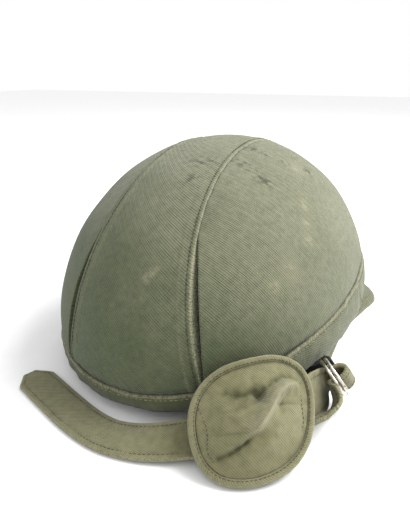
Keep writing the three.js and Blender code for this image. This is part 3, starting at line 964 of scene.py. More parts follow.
def loft_object(
    name: str,
    sections: Array,
    material: bpy.types.Material,
    cloth: Union[Array, None] = None,
    marks: Union[dict[str, Array], None] = None,
    joined: bool = False,
) -> bpy.types.Object:
    """Makes a solid through closed sections, capped at its ends or joined round.

    Args:
        name: The object's name.
        sections: Points, one row for each section.
        material: Its finish.
        cloth: Places on the flat cloth, laid out as the sections are.
        marks: Values that the finish reads, laid out as the sections are.
        joined: Joins the last section to the first.

    Returns:
        The object.
    """
    count, corners = sections.shape[:2]
    numbers = np.arange(count * corners).reshape(count, corners)
    faces: list[Array] = []
    for i in range(count if joined else count - 1):
        faces.extend(wall_faces(numbers[i], numbers[(i + 1) % count])[:, ::-1])
    if not joined:
        faces.extend([numbers[0], numbers[-1][::-1]])
    return new_object(name, sections, faces, material, cloth, marks)


def lengths(points: Array, axis: int = 0) -> Array:
    """Distance run along a grid's lines from their first points."""
    first = np.take(points, [0], axis=axis)
    return np.cumsum(np.linalg.norm(np.diff(points, axis=axis, prepend=first), axis=-1), axis=axis)


@dataclass
class HemBand:
    """Padded band round the rim, rolled under it."""

    dome: Dome
    stance: Stance
    gap: float = 0.3
    columns: int = 300
    stitch_drop: float = 3.0
    stitch_out: float = 0.35
    middle_radius: float = 120.0

    # Way towards the lamp's side and the sun that faded it, in the table's frame; the band is painted paler
    # where it faces it
    LAMP_AND_SUN_WAY = (0.9, 0.35, 0.3)
    PADDING = (Ripple(0.3, 16, 11), Ripple(0.2, 7, 12))

    # Corners of its section: how far in, share of the way from seam to rim, and millimetres further down
    SECTION = (
        (10, 0, 0), (1.2, 0, 0.1), (0.2, 0, 0.7), (-0.3, 0, 1.6), (-0.35, 0, 2.5), (-0.1, 0, 3.0),
        (-0.4, 0, 3.6), (-0.6, 0, 4.8), (-0.6, 0.35, 2), (-0.6, 0.5, 1), (-0.5, 0.65, 0.5),
        (-0.3, 1, -5.5), (0, 1, -4), (0.6, 1, -2.5), (1.6, 1, -1.2), (2.9, 1, -0.4), (4.4, 1, 0),
        (8, 1, 0), (13, 1, 0), (15.4, 1, -0.5), (17, 1, -1.5), (19, 1, -3.2), (20, 1, -5), (20, 0.5, 0),
        (20, 0, 0),
    )

    def points(self, angle: Array, inset: Array, share: Array, drop: Array) -> Array:
        """Points of the section in the crown's own frame.

        Args:
            angle: Angle round the head.
            inset: How far in from the canvas.
            share: Share of the height from seam to rim.
            drop: Millimetres further down.

        Returns:
            The points.
        """
        top, rim = self.dome.seam_level(angle) - self.gap, self.dome.rim_height(angle)
        level = top + (rim - top) * share - drop
        inward = np.stack([-np.cos(angle), -np.sin(angle), np.zeros_like(angle)], -1)
        return self.dome.point(angle, level) + inward * np.broadcast_to(inset, angle.shape)[..., None]

    def build(self, finishes: Finishes, stitches: StitchTree) -> list[bpy.types.Object]:
        """Makes the band and its stitches."""
        table = np.array(self.SECTION, float)
        angle = np.repeat(np.arange(self.columns)[:, None] * 2 * np.pi / self.columns, len(table), 1)
        inset, share, drop = (np.broadcast_to(table[:, k], angle.shape) for k in range(3))
        grid = self.points(angle, inset, share, drop)
        facing = (inset < 3) * (drop > 0.05) + (share >= 0.35) * (inset < 5)
        lift = sum(uneven.at(grid) for uneven in self.PADDING) * np.clip(facing, 0, 1)
        grid = grid + self.dome.normal(grid) * lift[..., None]
        way = self.dome.normal(self.dome.point(angle, self.dome.seam_level(angle)))
        shone_on = self.stance.turn(way) @ unit(np.array(self.LAMP_AND_SUN_WAY))
        cloth = np.stack([angle * self.middle_radius, lengths(grid, 1)], -1)
        # Paler where the band faces the lamp's side, with sun fading and painted light; worn along the rim's
        # edge and a painted highlight on the top lip; painted shade in the groove at the seam and under the
        # rolled rim
        marks = {
            "fade_and_painted_light": 0.05 + 0.7 * smooth(shone_on, -0.2, 1.1),
            "wear_and_highlight": 0.75 * ((share == 0) & (drop > 0.5) & (drop < 2)) + 0.25 * (share == 1) * (inset < 3),
            "painted_shade": (share == 0) * (drop < 0.5) + 0.5 * (share == 1) * (inset > 1),
        }
        places = self.stance.place(grid)
        band = loft_object("hem_band_canvas", places, finishes.band, cloth, marks, joined=True)
        dress(band, "hem_band")
        turn = np.linspace(0, 2 * np.pi, 400)
        place = (np.full_like(turn, value) for value in (-self.stitch_out, 0, self.stitch_drop))
        line = self.stance.place(self.points(turn, *place))
        thread = finishes.pale_thread
        seam = stitches.sew("band_stitches", [line], thread, "band_canvas", pitch=3.0, length=2.3, seed=5)
        return [band, seam]


@dataclass
class NeckCurtain:
    """Stiff canvas curtain that hangs under the band from ear round the back to ear."""

    dome: Dome
    stance: Stance
    thickness: float = 2.4
    inset: float = 6.0
    slack: float = 1.6
    gap: float = 0.3
    turned_edge: float = 7.0
    stitch_rows: tuple[float, ...] = (2.2, 6.0)
    buckle: Ripple = Ripple(0.7, 34, 21)
    stations: int = 220
    drops: int = 30

    # Angle of the rim over each place of the foot, and the foot, from the left end round to the back
    FEET = (
        (-19, 93.9, -42), (-2, 92.6, -10), (17, 93.9, 27), (34, 101, 63),
        (48, 106, 90), (57, 96, 115), (70, 58, 134), (90, 0, 142),
    )

    def middle(self, along: Array, drop: Array) -> tuple[Array, Array]:
        """Middle surface of the curtain and its outward directions.

        Args:
            along: Shares along it, from the left end to the right.
            drop: Shares of its height, from the rim down.

        Returns:
            Points in the table's frame, and directions.
        """
        left = np.array(self.FEET[:-1], float)
        right = (left * np.array([-1, -1, 1]) + np.array([180, 0, 0]))[::-1]
        rows = np.vstack([left, self.FEET[-1], right])
        foot_line = Spline(np.column_stack([rows[:, 1:], np.zeros(len(rows))]))
        angle = np.radians(Spline(np.column_stack([rows[:, 0], np.zeros((len(rows), 2))])).at(along)[:, 0])
        foot, way = foot_line.at(along), foot_line.tangent(along)
        out = unit(np.stack([way[:, 1], -way[:, 0], np.zeros(len(way))], -1))
        inward = np.stack([-np.cos(angle), -np.sin(angle), np.zeros_like(angle)], -1)
        rim = self.dome.point(angle, self.dome.rim_height(angle) - self.gap)
        head = self.stance.place(rim + inward * self.inset)
        share = drop[:, None, None]
        sag = np.sin(share * np.pi) * self.slack
        return head + (foot - head) * share - out * sag, np.broadcast_to(out, (len(drop), *out.shape))

    def build(self, finishes: Finishes, stitches: StitchTree) -> list[bpy.types.Object]:
        """Makes the curtain and the stitches of its turned edge."""
        along, drop = np.linspace(0, 1, self.stations), np.linspace(0, 1, self.drops)
        grid, out = self.middle(along, drop)
        run, fall = lengths(grid, 1), lengths(grid, 0)
        from_foot = fall[-1] - fall
        from_end = np.minimum(run, run[:, -1:] - run)
        edge = np.minimum(from_foot, from_end)
        hem = 0.35 * (1 - smooth(edge, self.turned_edge - 0.8, self.turned_edge + 0.6))
        buckle = self.buckle.at(grid) * np.sin(np.pi * drop)[:, None]
        # Paler toward the wearer's left, the lamp's side, with fading and painted light; worn at its edges;
        # painted shade just under the band and along the turned edge's step
        marks = {
            "fade_and_painted_light": 0.3 + 0.35 * smooth(grid[..., 0], -60, 110),
            "wear_and_highlight": bell(edge, 1.3),
            "painted_shade": 0.6 * np.exp(-(fall / 4)) + 0.4 * bell(edge - self.turned_edge, 0.9),
        }
        cloth = np.stack([run, fall], -1)
        skins = []
        for side in (1, -1):
            lift = side * (self.thickness / 2 + hem) + buckle
            skins.append(Surface(grid + out * lift[..., None], cloth, marks))
        curtain = padded_object("neck_curtain_canvas", *skins, finishes.band)
        dress(curtain, "neck_curtain")
        lines, front = [], skins[0].points
        for above_foot in self.stitch_rows:
            place = np.clip(1 - above_foot / fall[-1], 0, 1) * (self.drops - 1)
            row, column = np.floor(place).astype(int), np.arange(self.stations)
            row = np.minimum(row, self.drops - 2)
            share = (place - row)[:, None]
            line = front[row, column] * (1 - share) + front[row + 1, column] * share
            lines.append((line + out[0] * 0.1)[3:-3])
        thread = finishes.pale_thread
        seam = stitches.sew("curtain_stitches", lines, thread, "band_canvas", pitch=3.2, length=2.4, seed=6)
        return [curtain, seam]


@dataclass
class Ribbon:
    """Flat webbing or folded canvas along a line, with the way of its width at each point.

    `edge` is how far its rounded edges reach, `seam` how far inside them it is sewn down, and `steps` are
    the distances inside them at which its section has corners.
    """

    points: Array
    across: Array
    halves: Array
    thickness: float
    edge: float
    count: int
    seam: float = 2.4
    steps: tuple[float, ...] = (1.2, 2.4, 3.4, 5.0)

    def frames(self) -> tuple[Array, Array, Array, Array]:
        """Middle points, ways across, faces and half widths along the ribbon."""
        t = np.linspace(0, 1, self.count + 1)
        last = len(self.points) - 1
        line = Spline(self.points)
        middle, along = line.at(t), line.tangent(t)
        across = Spline(self.across).at(t)
        across = unit(across - (across * along).sum(1, keepdims=True) * along)
        half = np.interp(t * last, np.arange(last + 1), self.halves)
        return middle, across, unit(np.cross(along, across)), half

    def section(self) -> Array:
        """Corners of its section: side of the half width, distance from it, share of the half thickness."""
        nose = [(self.edge * (math.cos(a) - 1), math.sin(a)) for a in np.radians(np.arange(90, -91, -30))]
        face = [(1, -self.edge - step) for step in self.steps] + [(0, 0)]
        face += [(-1, self.edge + step) for step in self.steps[::-1]]
        right, left = [(1, dx, s) for dx, s in nose], [(-1, -dx, s) for dx, s in nose[::-1]]
        under = [(side, off, -1.0) for side, off in face]
        over = [(side, off, 1.0) for side, off in face[::-1]]
        return np.array([*right, *under, *left, *over])

    def build(
        self, name: str, material: bpy.types.Material, unevenness: Sequence[Ripple] = ()
    ) -> bpy.types.Object:
        """Makes the ribbon with rounded edges.

        Args:
            name: The object's name.
            material: Its finish.
            unevenness: What raises both its faces.

        Returns:
            The object.
        """
        middle, across, face, half = self.frames()
        profile = self.section()
        shift = profile[:, 0] * half[:, None] + profile[:, 1]
        inside = half[:, None] - np.abs(shift)
        sewn = inside - self.edge - self.seam
        rise = profile[:, 2] * self.thickness / 2 * (1 - 0.12 * bell(sewn, 0.6))
        points = middle[:, None] + across[:, None] * shift[..., None] + face[:, None] * rise[..., None]
        outwards = np.sign(profile[:, 2]) * (np.abs(profile[:, 2]) > 0.9)
        bump = sum(uneven.at(points) for uneven in unevenness) * outwards
        points = points + face[:, None] * bump[..., None]
        cloth = np.stack([np.broadcast_to(lengths(middle)[:, None], shift.shape), shift], -1)
        # Worn along its edges, and painted shade along the sunk stitch lines
        marks = {
            "fade_and_painted_light": np.full(shift.shape, 0.45),
            "wear_and_highlight": 0.8 * bell(inside, 0.8),
            "painted_shade": 0.35 * bell(sewn, 0.7),
        }
        return loft_object(name, points, material, cloth, marks)

    def stitch_lines(self, inset: float) -> list[Array]:
        """Lines that run inside both edges, on both faces."""
        middle, across, face, half = self.frames()
        proud = self.thickness / 2 - 0.12
        return [
            (middle + across * (side * (half - inset))[:, None] + face * (up * proud))[3:-3]
            for side in (1, -1) for up in (1, -1)
        ]


@dataclass
class Rings:
    """Two thin plated rings on the wearer's left, and the ways that their neighbours share.

    Each way is a bearing in the table's plane and a rise above it, in degrees.
    """

    radius: float = 12.6
    wire: float = 1.05
    spacing: float = 2.45
    center: tuple[float, float, float] = (108, -77.7, 20.2)
    axis_way: tuple[float, float] = (35, 34)
    strap_way: tuple[float, float] = (-106.6, 49.4)
    lying_way: tuple[float, float] = (-22.6, -38.9)
    tab_turn: float = 45.0
    turns: int = 96
    sides: int = 20

    def __post_init__(self) -> None:
        """Works out the rings' own directions."""
        self.axis = heading(*self.axis_way)
        self.grain = self.level(heading(*self.strap_way))
        down = unit(np.cross(self.axis, self.grain))
        self.down = -down if down[2] > 0 else down
        along = self.level(heading(*self.lying_way))
        near = unit(np.cross(self.axis, along))
        near = -near if near[2] < 0 else near
        turn = math.radians(self.tab_turn)
        self.outward = -along * math.cos(turn) - near * math.sin(turn)
        self.wireway = along * math.sin(turn) - near * math.cos(turn)

    def level(self, way: Array) -> Array:
        """The way in the rings' plane that is nearest to a given one."""
        return unit(way - way @ self.axis * self.axis)

    def at(self, way: Array, away: float, through: float) -> Array:
        """A point off the rings' middle along a way, and along their axis."""
        return np.array(self.center) + way * away + self.axis * through

    def build(self, finishes: Finishes) -> list[bpy.types.Object]:
        """Makes both rings."""
        first = unit(np.cross(self.axis, [0, 0, 1]))
        second = np.cross(self.axis, first)
        a = np.arange(self.turns)[:, None, None] * 2 * np.pi / self.turns
        b = np.arange(self.sides)[None, :, None] * 2 * np.pi / self.sides
        out = first * np.cos(a) + second * np.sin(a)
        made = []
        for node, through in (("ring_inner", -self.spacing / 2), ("ring_outer", self.spacing / 2)):
            tube = out * (self.radius + self.wire * np.cos(b)) + self.axis * (self.wire * np.sin(b) + through)
            ring = loft_object(f"{node}_wire", tube + np.array(self.center), finishes.wire, joined=True)
            dress(ring, node)
            made.append(ring)
        return made


@dataclass
class ChinStrap:
    """One length of turned-edge canvas strap: free tip, run, cup, loop through the rings and back."""

    rings: Rings
    width: float = 24.0
    thickness: float = 2.6
    edge: float = 1.1
    squeeze: float = 0.8
    tip_share: float = 0.42
    stitch_inset: float = 3.0
    count: int = 640

    WAVES = (Ripple(0.096, 11, 31), Ripple(0.096, 26, 32))

    # Middle line on the table: x, y, z, and the bearing and rise of the way across
    PATH = (
        (-79.6, -132.6, 1.5, -111, 0), (-70.5, -135.6, 1.5, -110, 0), (-53, -142.4, 1.5, -109, 0),
        (-38.3, -148, 1.5, -109, 0), (-24.1, -153.1, 1.5, -108, 0), (-9.5, -157.2, 1.7, -101, -1),
        (4.6, -159.2, 2.5, -90, -4), (20.9, -157.6, 4, -74, -9), (35, -153.2, 6, -69, -14),
        (48.5, -147, 8.2, -65, -16), (66, -134.5, 8.2, -60, -8), (85.4, -117.6, 7.6, -66, 12),
        (97, -106.2, 8, -70, 20), (105.6, -100.4, 9.4, -56, 34), (110.6, -95.2, 11.6, -52, 52),
        (110.2, -89, 13.8, -74, 58),
    )

    # Way through the rings: how far below their middle, and how far along their axis
    PASS = ((4, -4.6), (4.5, 3.4), (3.6, 6.6), (1, 8.4), (-1.6, 6.6), (-2.7, 3.4), (-2.2, -4.4))

    # Way back behind the cup, laid out as the middle line is
    RETURN = ((101.2, -92.5, 18.6, 170, 62), (95.8, -110, 20.6, 160, 60), (87, -119.5, 19.6, 140, 52))

    def ribbon(self) -> Ribbon:
        """The strap's line and widths."""
        path, back = np.array(self.PATH, float), np.array(self.RETURN, float)
        inside = [self.rings.at(self.rings.down, down, through) for down, through in self.PASS]
        grain = np.repeat(self.rings.grain[None], len(self.PASS), 0)
        points = np.vstack([path[:, :3], inside, back[:, :3]])
        across = np.vstack([heading(path[:, 3], path[:, 4]), grain, heading(back[:, 3], back[:, 4])])
        halves = np.full(len(points), self.width / 2)
        halves[len(path):len(path) + len(inside)] *= self.squeeze
        halves[0] *= self.tip_share
        return Ribbon(points, across, halves, self.thickness, self.edge, self.count)

    def build(self, finishes: Finishes, stitches: StitchTree) -> list[bpy.types.Object]:
        """Makes the strap and the stitches along its turned edges."""
        ribbon = self.ribbon()
        strap = ribbon.build("chin_strap_canvas", finishes.strap, self.WAVES)
        dress(strap, "chin_strap")
        lines, thread = ribbon.stitch_lines(self.stitch_inset), finishes.brown_thread
        size = {"pitch": 2.5, "length": 1.8, "thickness": 0.5}
        return [strap, stitches.sew("strap_stitches", lines, thread, "khaki_canvas", seed=8, **size)]


@dataclass
class RingTab:
    """Black ribbed webbing from under the rim round both rings."""

    rings: Rings
    width: float = 11.0
    thickness: float = 1.6
    edge: float = 0.5
    count: int = 150

    # Place, and the bearing and rise of the way across
    ROOT = ((82.6, -82.4, 13.6, -38, -6), (91, -76.2, 14.6, -28, -28))

    # Distance from the rings' middle, and place along their axis
    WRAP = ((13.4, -4.4), (15.2, -1.8), (15.2, 1.8), (12.6, 3.7), (10.2, 3.6))

    def build(self, finishes: Finishes) -> list[bpy.types.Object]:
        """Makes the webbing."""
        root = np.array(self.ROOT, float)
        around = [self.rings.at(self.rings.outward, away, through) for away, through in self.WRAP]
        wireway = np.repeat(self.rings.wireway[None], len(around), 0)
        points = np.vstack([root[:, :3], around])
        across = np.vstack([heading(root[:, 3], root[:, 4]), wireway])
        halves = np.full(len(points), self.width / 2)
        ribbon = Ribbon(points, across, halves, self.thickness, self.edge, self.count)
        tab = ribbon.build("ring_tab_webbing", finishes.webbing)
        dress(tab, "ring_tab")
        return [tab]


@dataclass
class RightClasp:
    """Plain canvas plate under the right ear, with its edges rounded off."""

    radius: float = 9.0
    reach: float = 14.0
    depth: float = 2.4
    round_off: float = 0.35
    drawn_in: float = 0.6
    place: tuple[float, float, float] = (-98.5, -58, 5.4)
    nose: float = 30.0
    turn: float = 207.0

    def build(self, finishes: Finishes) -> list[bpy.types.Object]:
        """Makes the plate."""
        angles = np.linspace(-np.pi / 2, np.pi / 2, 33)
        arc = [(self.radius * math.cos(a), self.radius * math.sin(a)) for a in angles]
        outline = np.array([*arc, (-self.reach, self.radius), (-self.reach, -self.radius)])
        middle = outline.mean(0)
        top = self.depth
        levels = ((0, self.drawn_in), (self.round_off, 0), (top - self.round_off, 0), (top, self.drawn_in))
        rows = []
        for z, inset in levels:
            ring = middle + (outline - middle) * (1 - inset / self.radius)
            rows.append(np.column_stack([ring, np.full(len(outline), z)]))
        turn = Matrix.Rotation(math.radians(self.turn), 3, "Z")
        turned = turn @ Matrix.Rotation(math.radians(self.nose), 3, "Y")
        flat = np.stack(rows)
        points = flat @ np.array(turned).T + np.array(self.place)
        marks = {key: np.full(points.shape[:2], value) for key, value in (("fade_and_painted_light", 0.4), ("wear_and_highlight", 0.2))}
        clasp = loft_object("right_clasp_plate", points, finishes.strap, flat[..., :2], marks)
        dress(clasp, "right_clasp")
        return [clasp]


@dataclass(frozen=True)
class Fold:
    """Crease or ridge along a line in the cup's plane, in millimetres.

    `left` and `right` are how wide it is on each side of the line, as seen along it.
    """

    line: tuple[tuple[float, float], ...]
    height: float
    left: float
    right: float
    crispness: float = 1.35

    def relief(self, places: Array) -> Array:
        """Height that the fold gives to places of the cup's plane."""
        line = np.array(self.line, float)
        best = np.full(places.shape[:-1], np.inf)
        value = np.zeros(places.shape[:-1])
        for start, end in zip(line, line[1:]):
            way = end - start
            off = places - start
            share = np.clip(off @ way / (way @ way), 0, 1)
            near = off - share[..., None] * way
            distance = np.linalg.norm(near, axis=-1)
            on_left = way[0] * off[..., 1] - way[1] * off[..., 0] > 0
            width = np.where(on_left, self.left, self.right)
            closer = distance < best
            best = np.where(closer, distance, best)
            value = np.where(closer, np.exp(-((distance / width) ** self.crispness)), value)
        return self.height * value


@dataclass
class ChinCup:
    """Oval cup of doubled canvas in a bound edge, collapsed into folds."""

    center: tuple[float, float, float] = (77.6, -136.2, 24.2)
    bearing: float = 32.0
    tilt: float = 44.0
    half_long: float = 37.1
    half_short: float = 30.1
    long_turn: float = 35.1
    shift: tuple[float, float] = (1.1, -0.2)
    cloth: float = 2.2
    belly: float = 7.0
    left_sweep: float = 6.5
    right_sweep: float = 5.5
    binding_half: float = 2.1
    binding_depth: float = 2.3
    gap: float = 0.3
    columns: int = 240
    rings: int = 84
    stations: int = 320
    corners: int = 24
    dips: tuple[float, float] = (2.05, 4.23)
    squareness: float = 0.75
    sewn_at: float = 1.45

    # Small creases of the cloth, and how the binding wobbles
    CREASES = (Ripple(0.28, 10, 41), Ripple(0.15, 5, 42))
    WOBBLE = Ripple(0.12, 6, 43)

    # Fullness of the oval: size, how many there are round it, and where one lies
    FULLNESS = ((0.028, 3, 0.0), (0.027, 4, 13.5))

    # Lines in the cup's plane: the stitched facings and the darts
    LEFT_FACING = (
        (-25.4, 12.3), (-27, 6.7), (-25.2, 1.4), (-23.8, -3.6), (-23.6, -8.8), (-24, -14.8), (-21.5, -20),
    )
    RIGHT_FACING = ((28.3, 15.7), (27.1, 4.4), (26.9, -3), (26, -6.5))
    RIGHT_DART = ((11.4, 4.2), (19.4, 4.7), (27.3, 4.4))
    LEFT_DART = ((-23.4, -8.1), (-12.3, -8.4), (-1.3, -8.1))
    FOLDS = (
        Fold(
            ((26.4, 16.9), (22.5, 18.4), (18.2, 18.4), (12.4, 15.6), (7.7, 12.3), (3.4, 8.5)), -4.6, 2.4, 2.6,
        ),
        Fold(((3.4, 8.5), (1.1, 10.6), (-5.3, 9.5), (-12.4, 11.5)), -2.8, 5.0, 4.0),
        Fold(((24.7, 14.9), (18.5, 13.2), (12.8, 8.6), (7.9, 1.9), (3, -4.1), (-1.3, -8.1)), 6.4, 2.6, 4.2),
        Fold(((24.9, 12.8), (22.4, 10.9), (18.4, 9.1), (13.5, 3.5)), -3.0, 3.6, 2.0),
        Fold(((-0.5, -9.6), (-6.2, -13.3), (-13.1, -17), (-19, -18.8)), -4.6, 3.0, 1.8),
        Fold(((-2, -11.6), (-8, -15.8), (-15, -19.6)), 1.6, 1.8, 2.6),
        Fold(((12.5, -4), (9.5, -12), (2, -18)), 1.2, 6.0, 6.0),
        Fold(((-25.5, -9.5), (-25, -15.5), (-22.5, -20)), -1.0, 2.0, 1.6),
        Fold(((-20, 3), (-12, 1.5), (-6, 3.5)), -0.9, 3.0, 4.0),
        Fold(RIGHT_DART, -0.9, 0.9, 0.9),
        Fold(LEFT_DART, -0.9, 0.9, 0.9),
        Fold(LEFT_FACING, -0.35, 0.8, 0.8),
        Fold(RIGHT_FACING, -0.35, 0.8, 0.8),
    )

    def outline(self, angle: Array, inset: Array) -> Array:
        """Points of the oval in the cup's plane, so far inside its outer edge."""
        fullness = 1 + sum(s * np.cos(n * (angle - math.radians(at))) for s, n, at in self.FULLNESS)
        p = (self.half_long * fullness - inset) * np.cos(angle)
        q = (self.half_short * fullness - inset) * np.sin(angle)
        along, beside = heading(self.long_turn, 0)[:2], heading(self.long_turn + 90, 0)[:2]
        return np.array(self.shift) + p[..., None] * along + q[..., None] * beside

    def sweep(self, x: Array) -> Array:
        """How far the strap draws the cup back at a distance along its level axis."""
        return -np.where(x < 0, self.left_sweep, self.right_sweep) * (x / 33) ** 2

    def to_table(self, places: Array, height: Array) -> Array:
        """Points of the cup's plane, so high over it, in the table's frame."""
        level, slope = heading(self.bearing, 0), heading(self.bearing + 90, self.tilt)
        out = np.cross(level, slope)
        on_plane = np.array(self.center) + places[..., :1] * level + places[..., 1:] * slope
        return on_plane + height[..., None] * out

    def relief(self, places: Array) -> Array:
        """Height of all the folds at places of the cup's plane."""
        flat = np.concatenate([places, np.zeros((*places.shape[:-1], 1))], -1)
        creases = sum(uneven.at(flat) for uneven in self.CREASES)
        return sum(fold.relief(places) for fold in self.FOLDS) + creases

    def height(self, places: Array, share: Array) -> Array:
        """Height of the cloth's middle over the plane, with a share of 1 at the binding."""
        free = self.belly * (1 - share**2) + self.relief(places)
        return self.sweep(places[..., 0]) + (1 - share**5) * free

    def share_of(self, places: Array) -> Array:
        """How far out places of the plane lie, 1 at the binding."""
        c, s = math.cos(math.radians(self.long_turn)), math.sin(math.radians(self.long_turn))
        off = places - np.array(self.shift)
        p, q = off[..., 0] * c + off[..., 1] * s, -off[..., 0] * s + off[..., 1] * c
        inset = 2 * self.binding_half + self.gap
        return np.clip(np.hypot(p / (self.half_long - inset), q / (self.half_short - inset)), 0, 1)

    def on_cloth(self, line: Sequence[tuple[float, float]]) -> Array:
        """A line of the plane laid on the front of the cloth."""
        pts = np.column_stack([np.array(line, float), np.zeros(len(line))])
        places = Spline(pts).at(np.linspace(0, 1, 60))[:, :2]
        return self.to_table(places, self.height(places, self.share_of(places)) + self.cloth / 2 - 0.05)

    def build(self, finishes: Finishes, stitches: StitchTree) -> list[bpy.types.Object]:
        """Makes the cup, its binding and its stitches."""
        made = [
            self.build_cloth(finishes.strap),
            self.build_binding(finishes.strap),
            *self.build_stitches(finishes.brown_thread, stitches),
        ]
        return made

    def build_cloth(self, canvas: bpy.types.Material) -> bpy.types.Object:
        """Makes the folded cloth, its two skins closed at the edge and in the middle."""
        inset = 2 * self.binding_half + self.gap / 5
        angle = np.arange(self.columns) * 2 * np.pi / self.columns
        share = np.linspace(1, 0.012, self.rings)[:, None]
        middle = np.array(self.shift)
        places = middle + (self.outline(angle, inset) - middle) * share[..., None]
        share = np.broadcast_to(share, places.shape[:-1])
        height = self.height(places, share)
        relief = self.relief(places) * (1 - share**5)
        count = height.size
        around = np.arange(self.columns)
        last = count - self.columns + around
        faces = [
            *grid_faces(self.rings, self.columns, joined=True),
            *grid_faces(self.rings, self.columns, count, flip=True, joined=True),
            *wall_faces(around, around + count)[:, ::-1],
            last, (last + count)[::-1],
        ]
        # Painted light from the folds: ridges paler with painted highlights, creases and the cloth beside the
        # binding darker with painted shade
        marks = {
            "fade_and_painted_light": 0.5 + 0.12 * relief,
            "wear_and_highlight": 0.5 * smooth(relief, 2.2, 4.6),
            "painted_shade": 0.75 * smooth(-relief, 0.7, 3.2) + 0.25 * smooth(share, 0.93, 1.0),
        }
        both = {key: np.concatenate([values.ravel()] * 2) for key, values in marks.items()}
        flat = np.concatenate([places.reshape(-1, 2)] * 2)
        skins = [self.to_table(places, height + side * self.cloth / 2).reshape(-1, 3) for side in (1, -1)]
        cup = new_object("chin_cup_canvas", np.concatenate(skins), faces, canvas, flat, both)
        dress(cup, "chin_cup")
        return cup

    def bend(self, angle: Array) -> Array:
        """How far the binding is drawn back at an angle round the oval."""
        return self.sweep(self.outline(angle, np.full_like(angle, self.binding_half))[..., 0])

    def build_binding(self, canvas: bpy.types.Material) -> bpy.types.Object:
        """Makes the rolled binding, with a dip under each line of its stitches."""
        ring, corner = (np.arange(count) * 2 * np.pi / count for count in (self.stations, self.corners))
        ring, corner = np.meshgrid(ring, corner, indexing="ij")
        places = self.outline(ring, self.binding_half * (1 - signed_power(np.cos(corner), self.squareness)))
        rise = self.bend(ring) + self.binding_depth * signed_power(np.sin(corner), self.squareness)
        grid = self.to_table(places, rise)
        grid = grid + self.WOBBLE.at(grid)[..., None] * heading(self.bearing + 90, self.tilt)
        run = np.broadcast_to(lengths(grid)[:, :1], ring.shape)
        # Worn on its outer edge, and painted shade in the dip under each line of stitches
        marks = {
            "fade_and_painted_light": np.full_like(ring, 0.55),
            "wear_and_highlight": 0.5 * (np.cos(corner) > 0.5),
            "painted_shade": 0.45 * sum(bell(corner - dip, 0.2) for dip in self.dips),
        }
        cloth = np.stack([run, corner * self.binding_depth], -1)
        binding = loft_object("cup_binding_canvas", grid, canvas, cloth, marks, joined=True)
        dress(binding, "cup_binding")
        return binding

    def build_stitches(self, thread: bpy.types.Material, stitches: StitchTree) -> list[bpy.types.Object]:
        """Sews the binding on both faces, and the facings on the front."""
        around = np.linspace(0, 2 * np.pi, 240)
        place = self.outline(around, np.full_like(around, self.sewn_at * self.binding_half))
        proud = self.binding_depth - 0.2
        edges = [self.to_table(place, self.bend(around) + side * proud) for side in (1, -1)]
        facings = [self.on_cloth(line) for line in (self.LEFT_FACING, self.RIGHT_FACING)]
        return [
            stitches.sew(name, lines, thread, "khaki_canvas", 2.2, length, thickness, seed)
            for name, lines, length, thickness, seed in (
                ("binding_stitches", edges, 1.6, 0.55, 9),
                ("cup_stitches", facings, 1.5, 0.5, 10),
            )
        ]


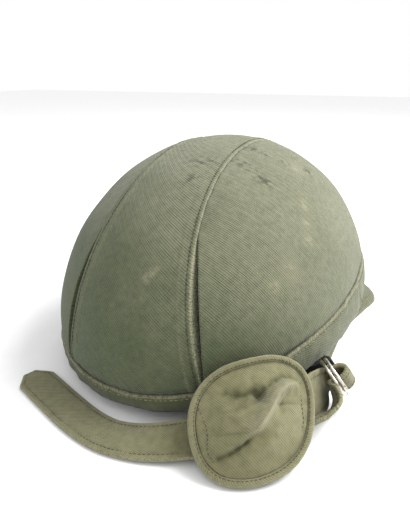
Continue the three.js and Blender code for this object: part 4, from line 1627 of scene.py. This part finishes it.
@dataclass
class Studio:
    """White table, soft light and the camera at the photograph's angle."""

    camera_place: tuple[float, float, float] = (0.14323, -0.32296, 0.18996)
    camera_back: tuple[float, float, float] = (0.412, -0.845, 0.342)
    camera_right: tuple[float, float, float] = (0.899, 0.438, 0)
    lens: float = 35.573
    sensor: float = 36.0
    floor: float = 8.0
    world: float = 1.0
    window_place: tuple[float, float, float] = (0.75, 0.5, 1.0)
    window_aim: tuple[float, float, float] = (0, 0, 0.05)
    window_power: float = 28.0
    window_size: float = 0.95

    def light(self) -> None:
        """Adds the window, a soft square light that points at the helmet."""
        data = bpy.data.lights.new("window", "AREA")
        data.energy, data.size = self.window_power, self.window_size
        lamp = bpy.data.objects.new("window", data)
        lamp.location = self.window_place
        way = Vector(self.window_aim) - Vector(self.window_place)
        lamp.rotation_euler = way.to_track_quat("-Z", "Y").to_euler()
        bpy.context.scene.collection.objects.link(lamp)

    def build(self) -> None:
        """Makes the floor, the light and the camera."""
        scene = bpy.context.scene
        half = self.floor / 2
        mesh = bpy.data.meshes.new("table_top")
        corners = [(-half, -half, 0), (half, -half, 0), (half, half, 0), (-half, half, 0)]
        mesh.from_pydata(corners, [], [(0, 1, 2, 3)])
        mesh.materials.append(Table().build())
        table = bpy.data.objects.new("table_top", mesh)
        scene.collection.objects.link(table)
        world = bpy.data.worlds.new("white_room")
        world.use_nodes = True
        back = world.node_tree.nodes["Background"]
        back.inputs["Color"].default_value = (1, 1, 1, 1)
        back.inputs["Strength"].default_value = self.world
        scene.world = world
        scene.view_settings.view_transform = "Standard"
        self.light()
        data = bpy.data.cameras.new("camera")
        data.lens, data.sensor_width, data.sensor_fit = self.lens, self.sensor, "AUTO"
        data.clip_start, data.clip_end = 0.01, 50.0
        camera = bpy.data.objects.new("camera", data)
        right, back_way = Vector(self.camera_right), Vector(self.camera_back)
        back_way.normalize()
        right = (right - right.dot(back_way) * back_way).normalized()
        up = back_way.cross(right)
        turn = Matrix((right, up, back_way)).transposed()
        camera.matrix_world = Matrix.Translation(self.camera_place) @ turn.to_4x4()
        scene.collection.objects.link(camera)
        scene.camera = camera


def main() -> None:
    """Builds the studio, then the helmet piece by piece."""
    logging.basicConfig(level=logging.INFO, format="%(name)s %(message)s")
    Studio().build()
    finishes, stitches = Finishes.make(), StitchTree()
    dome, stance, rings = Dome(), Stance(), Rings()
    made = [
        *Crown(dome, stance).build(finishes, stitches),
        *HemBand(dome, stance).build(finishes, stitches),
        *NeckCurtain(dome, stance).build(finishes, stitches),
        *ChinStrap(rings).build(finishes, stitches),
        *rings.build(finishes),
        *RingTab(rings).build(finishes),
        *ChinCup().build(finishes, stitches),
        *RightClasp().build(finishes),
    ]
    LOG.info("%d pieces", len(made))


if __name__ == "__main__":
    main()
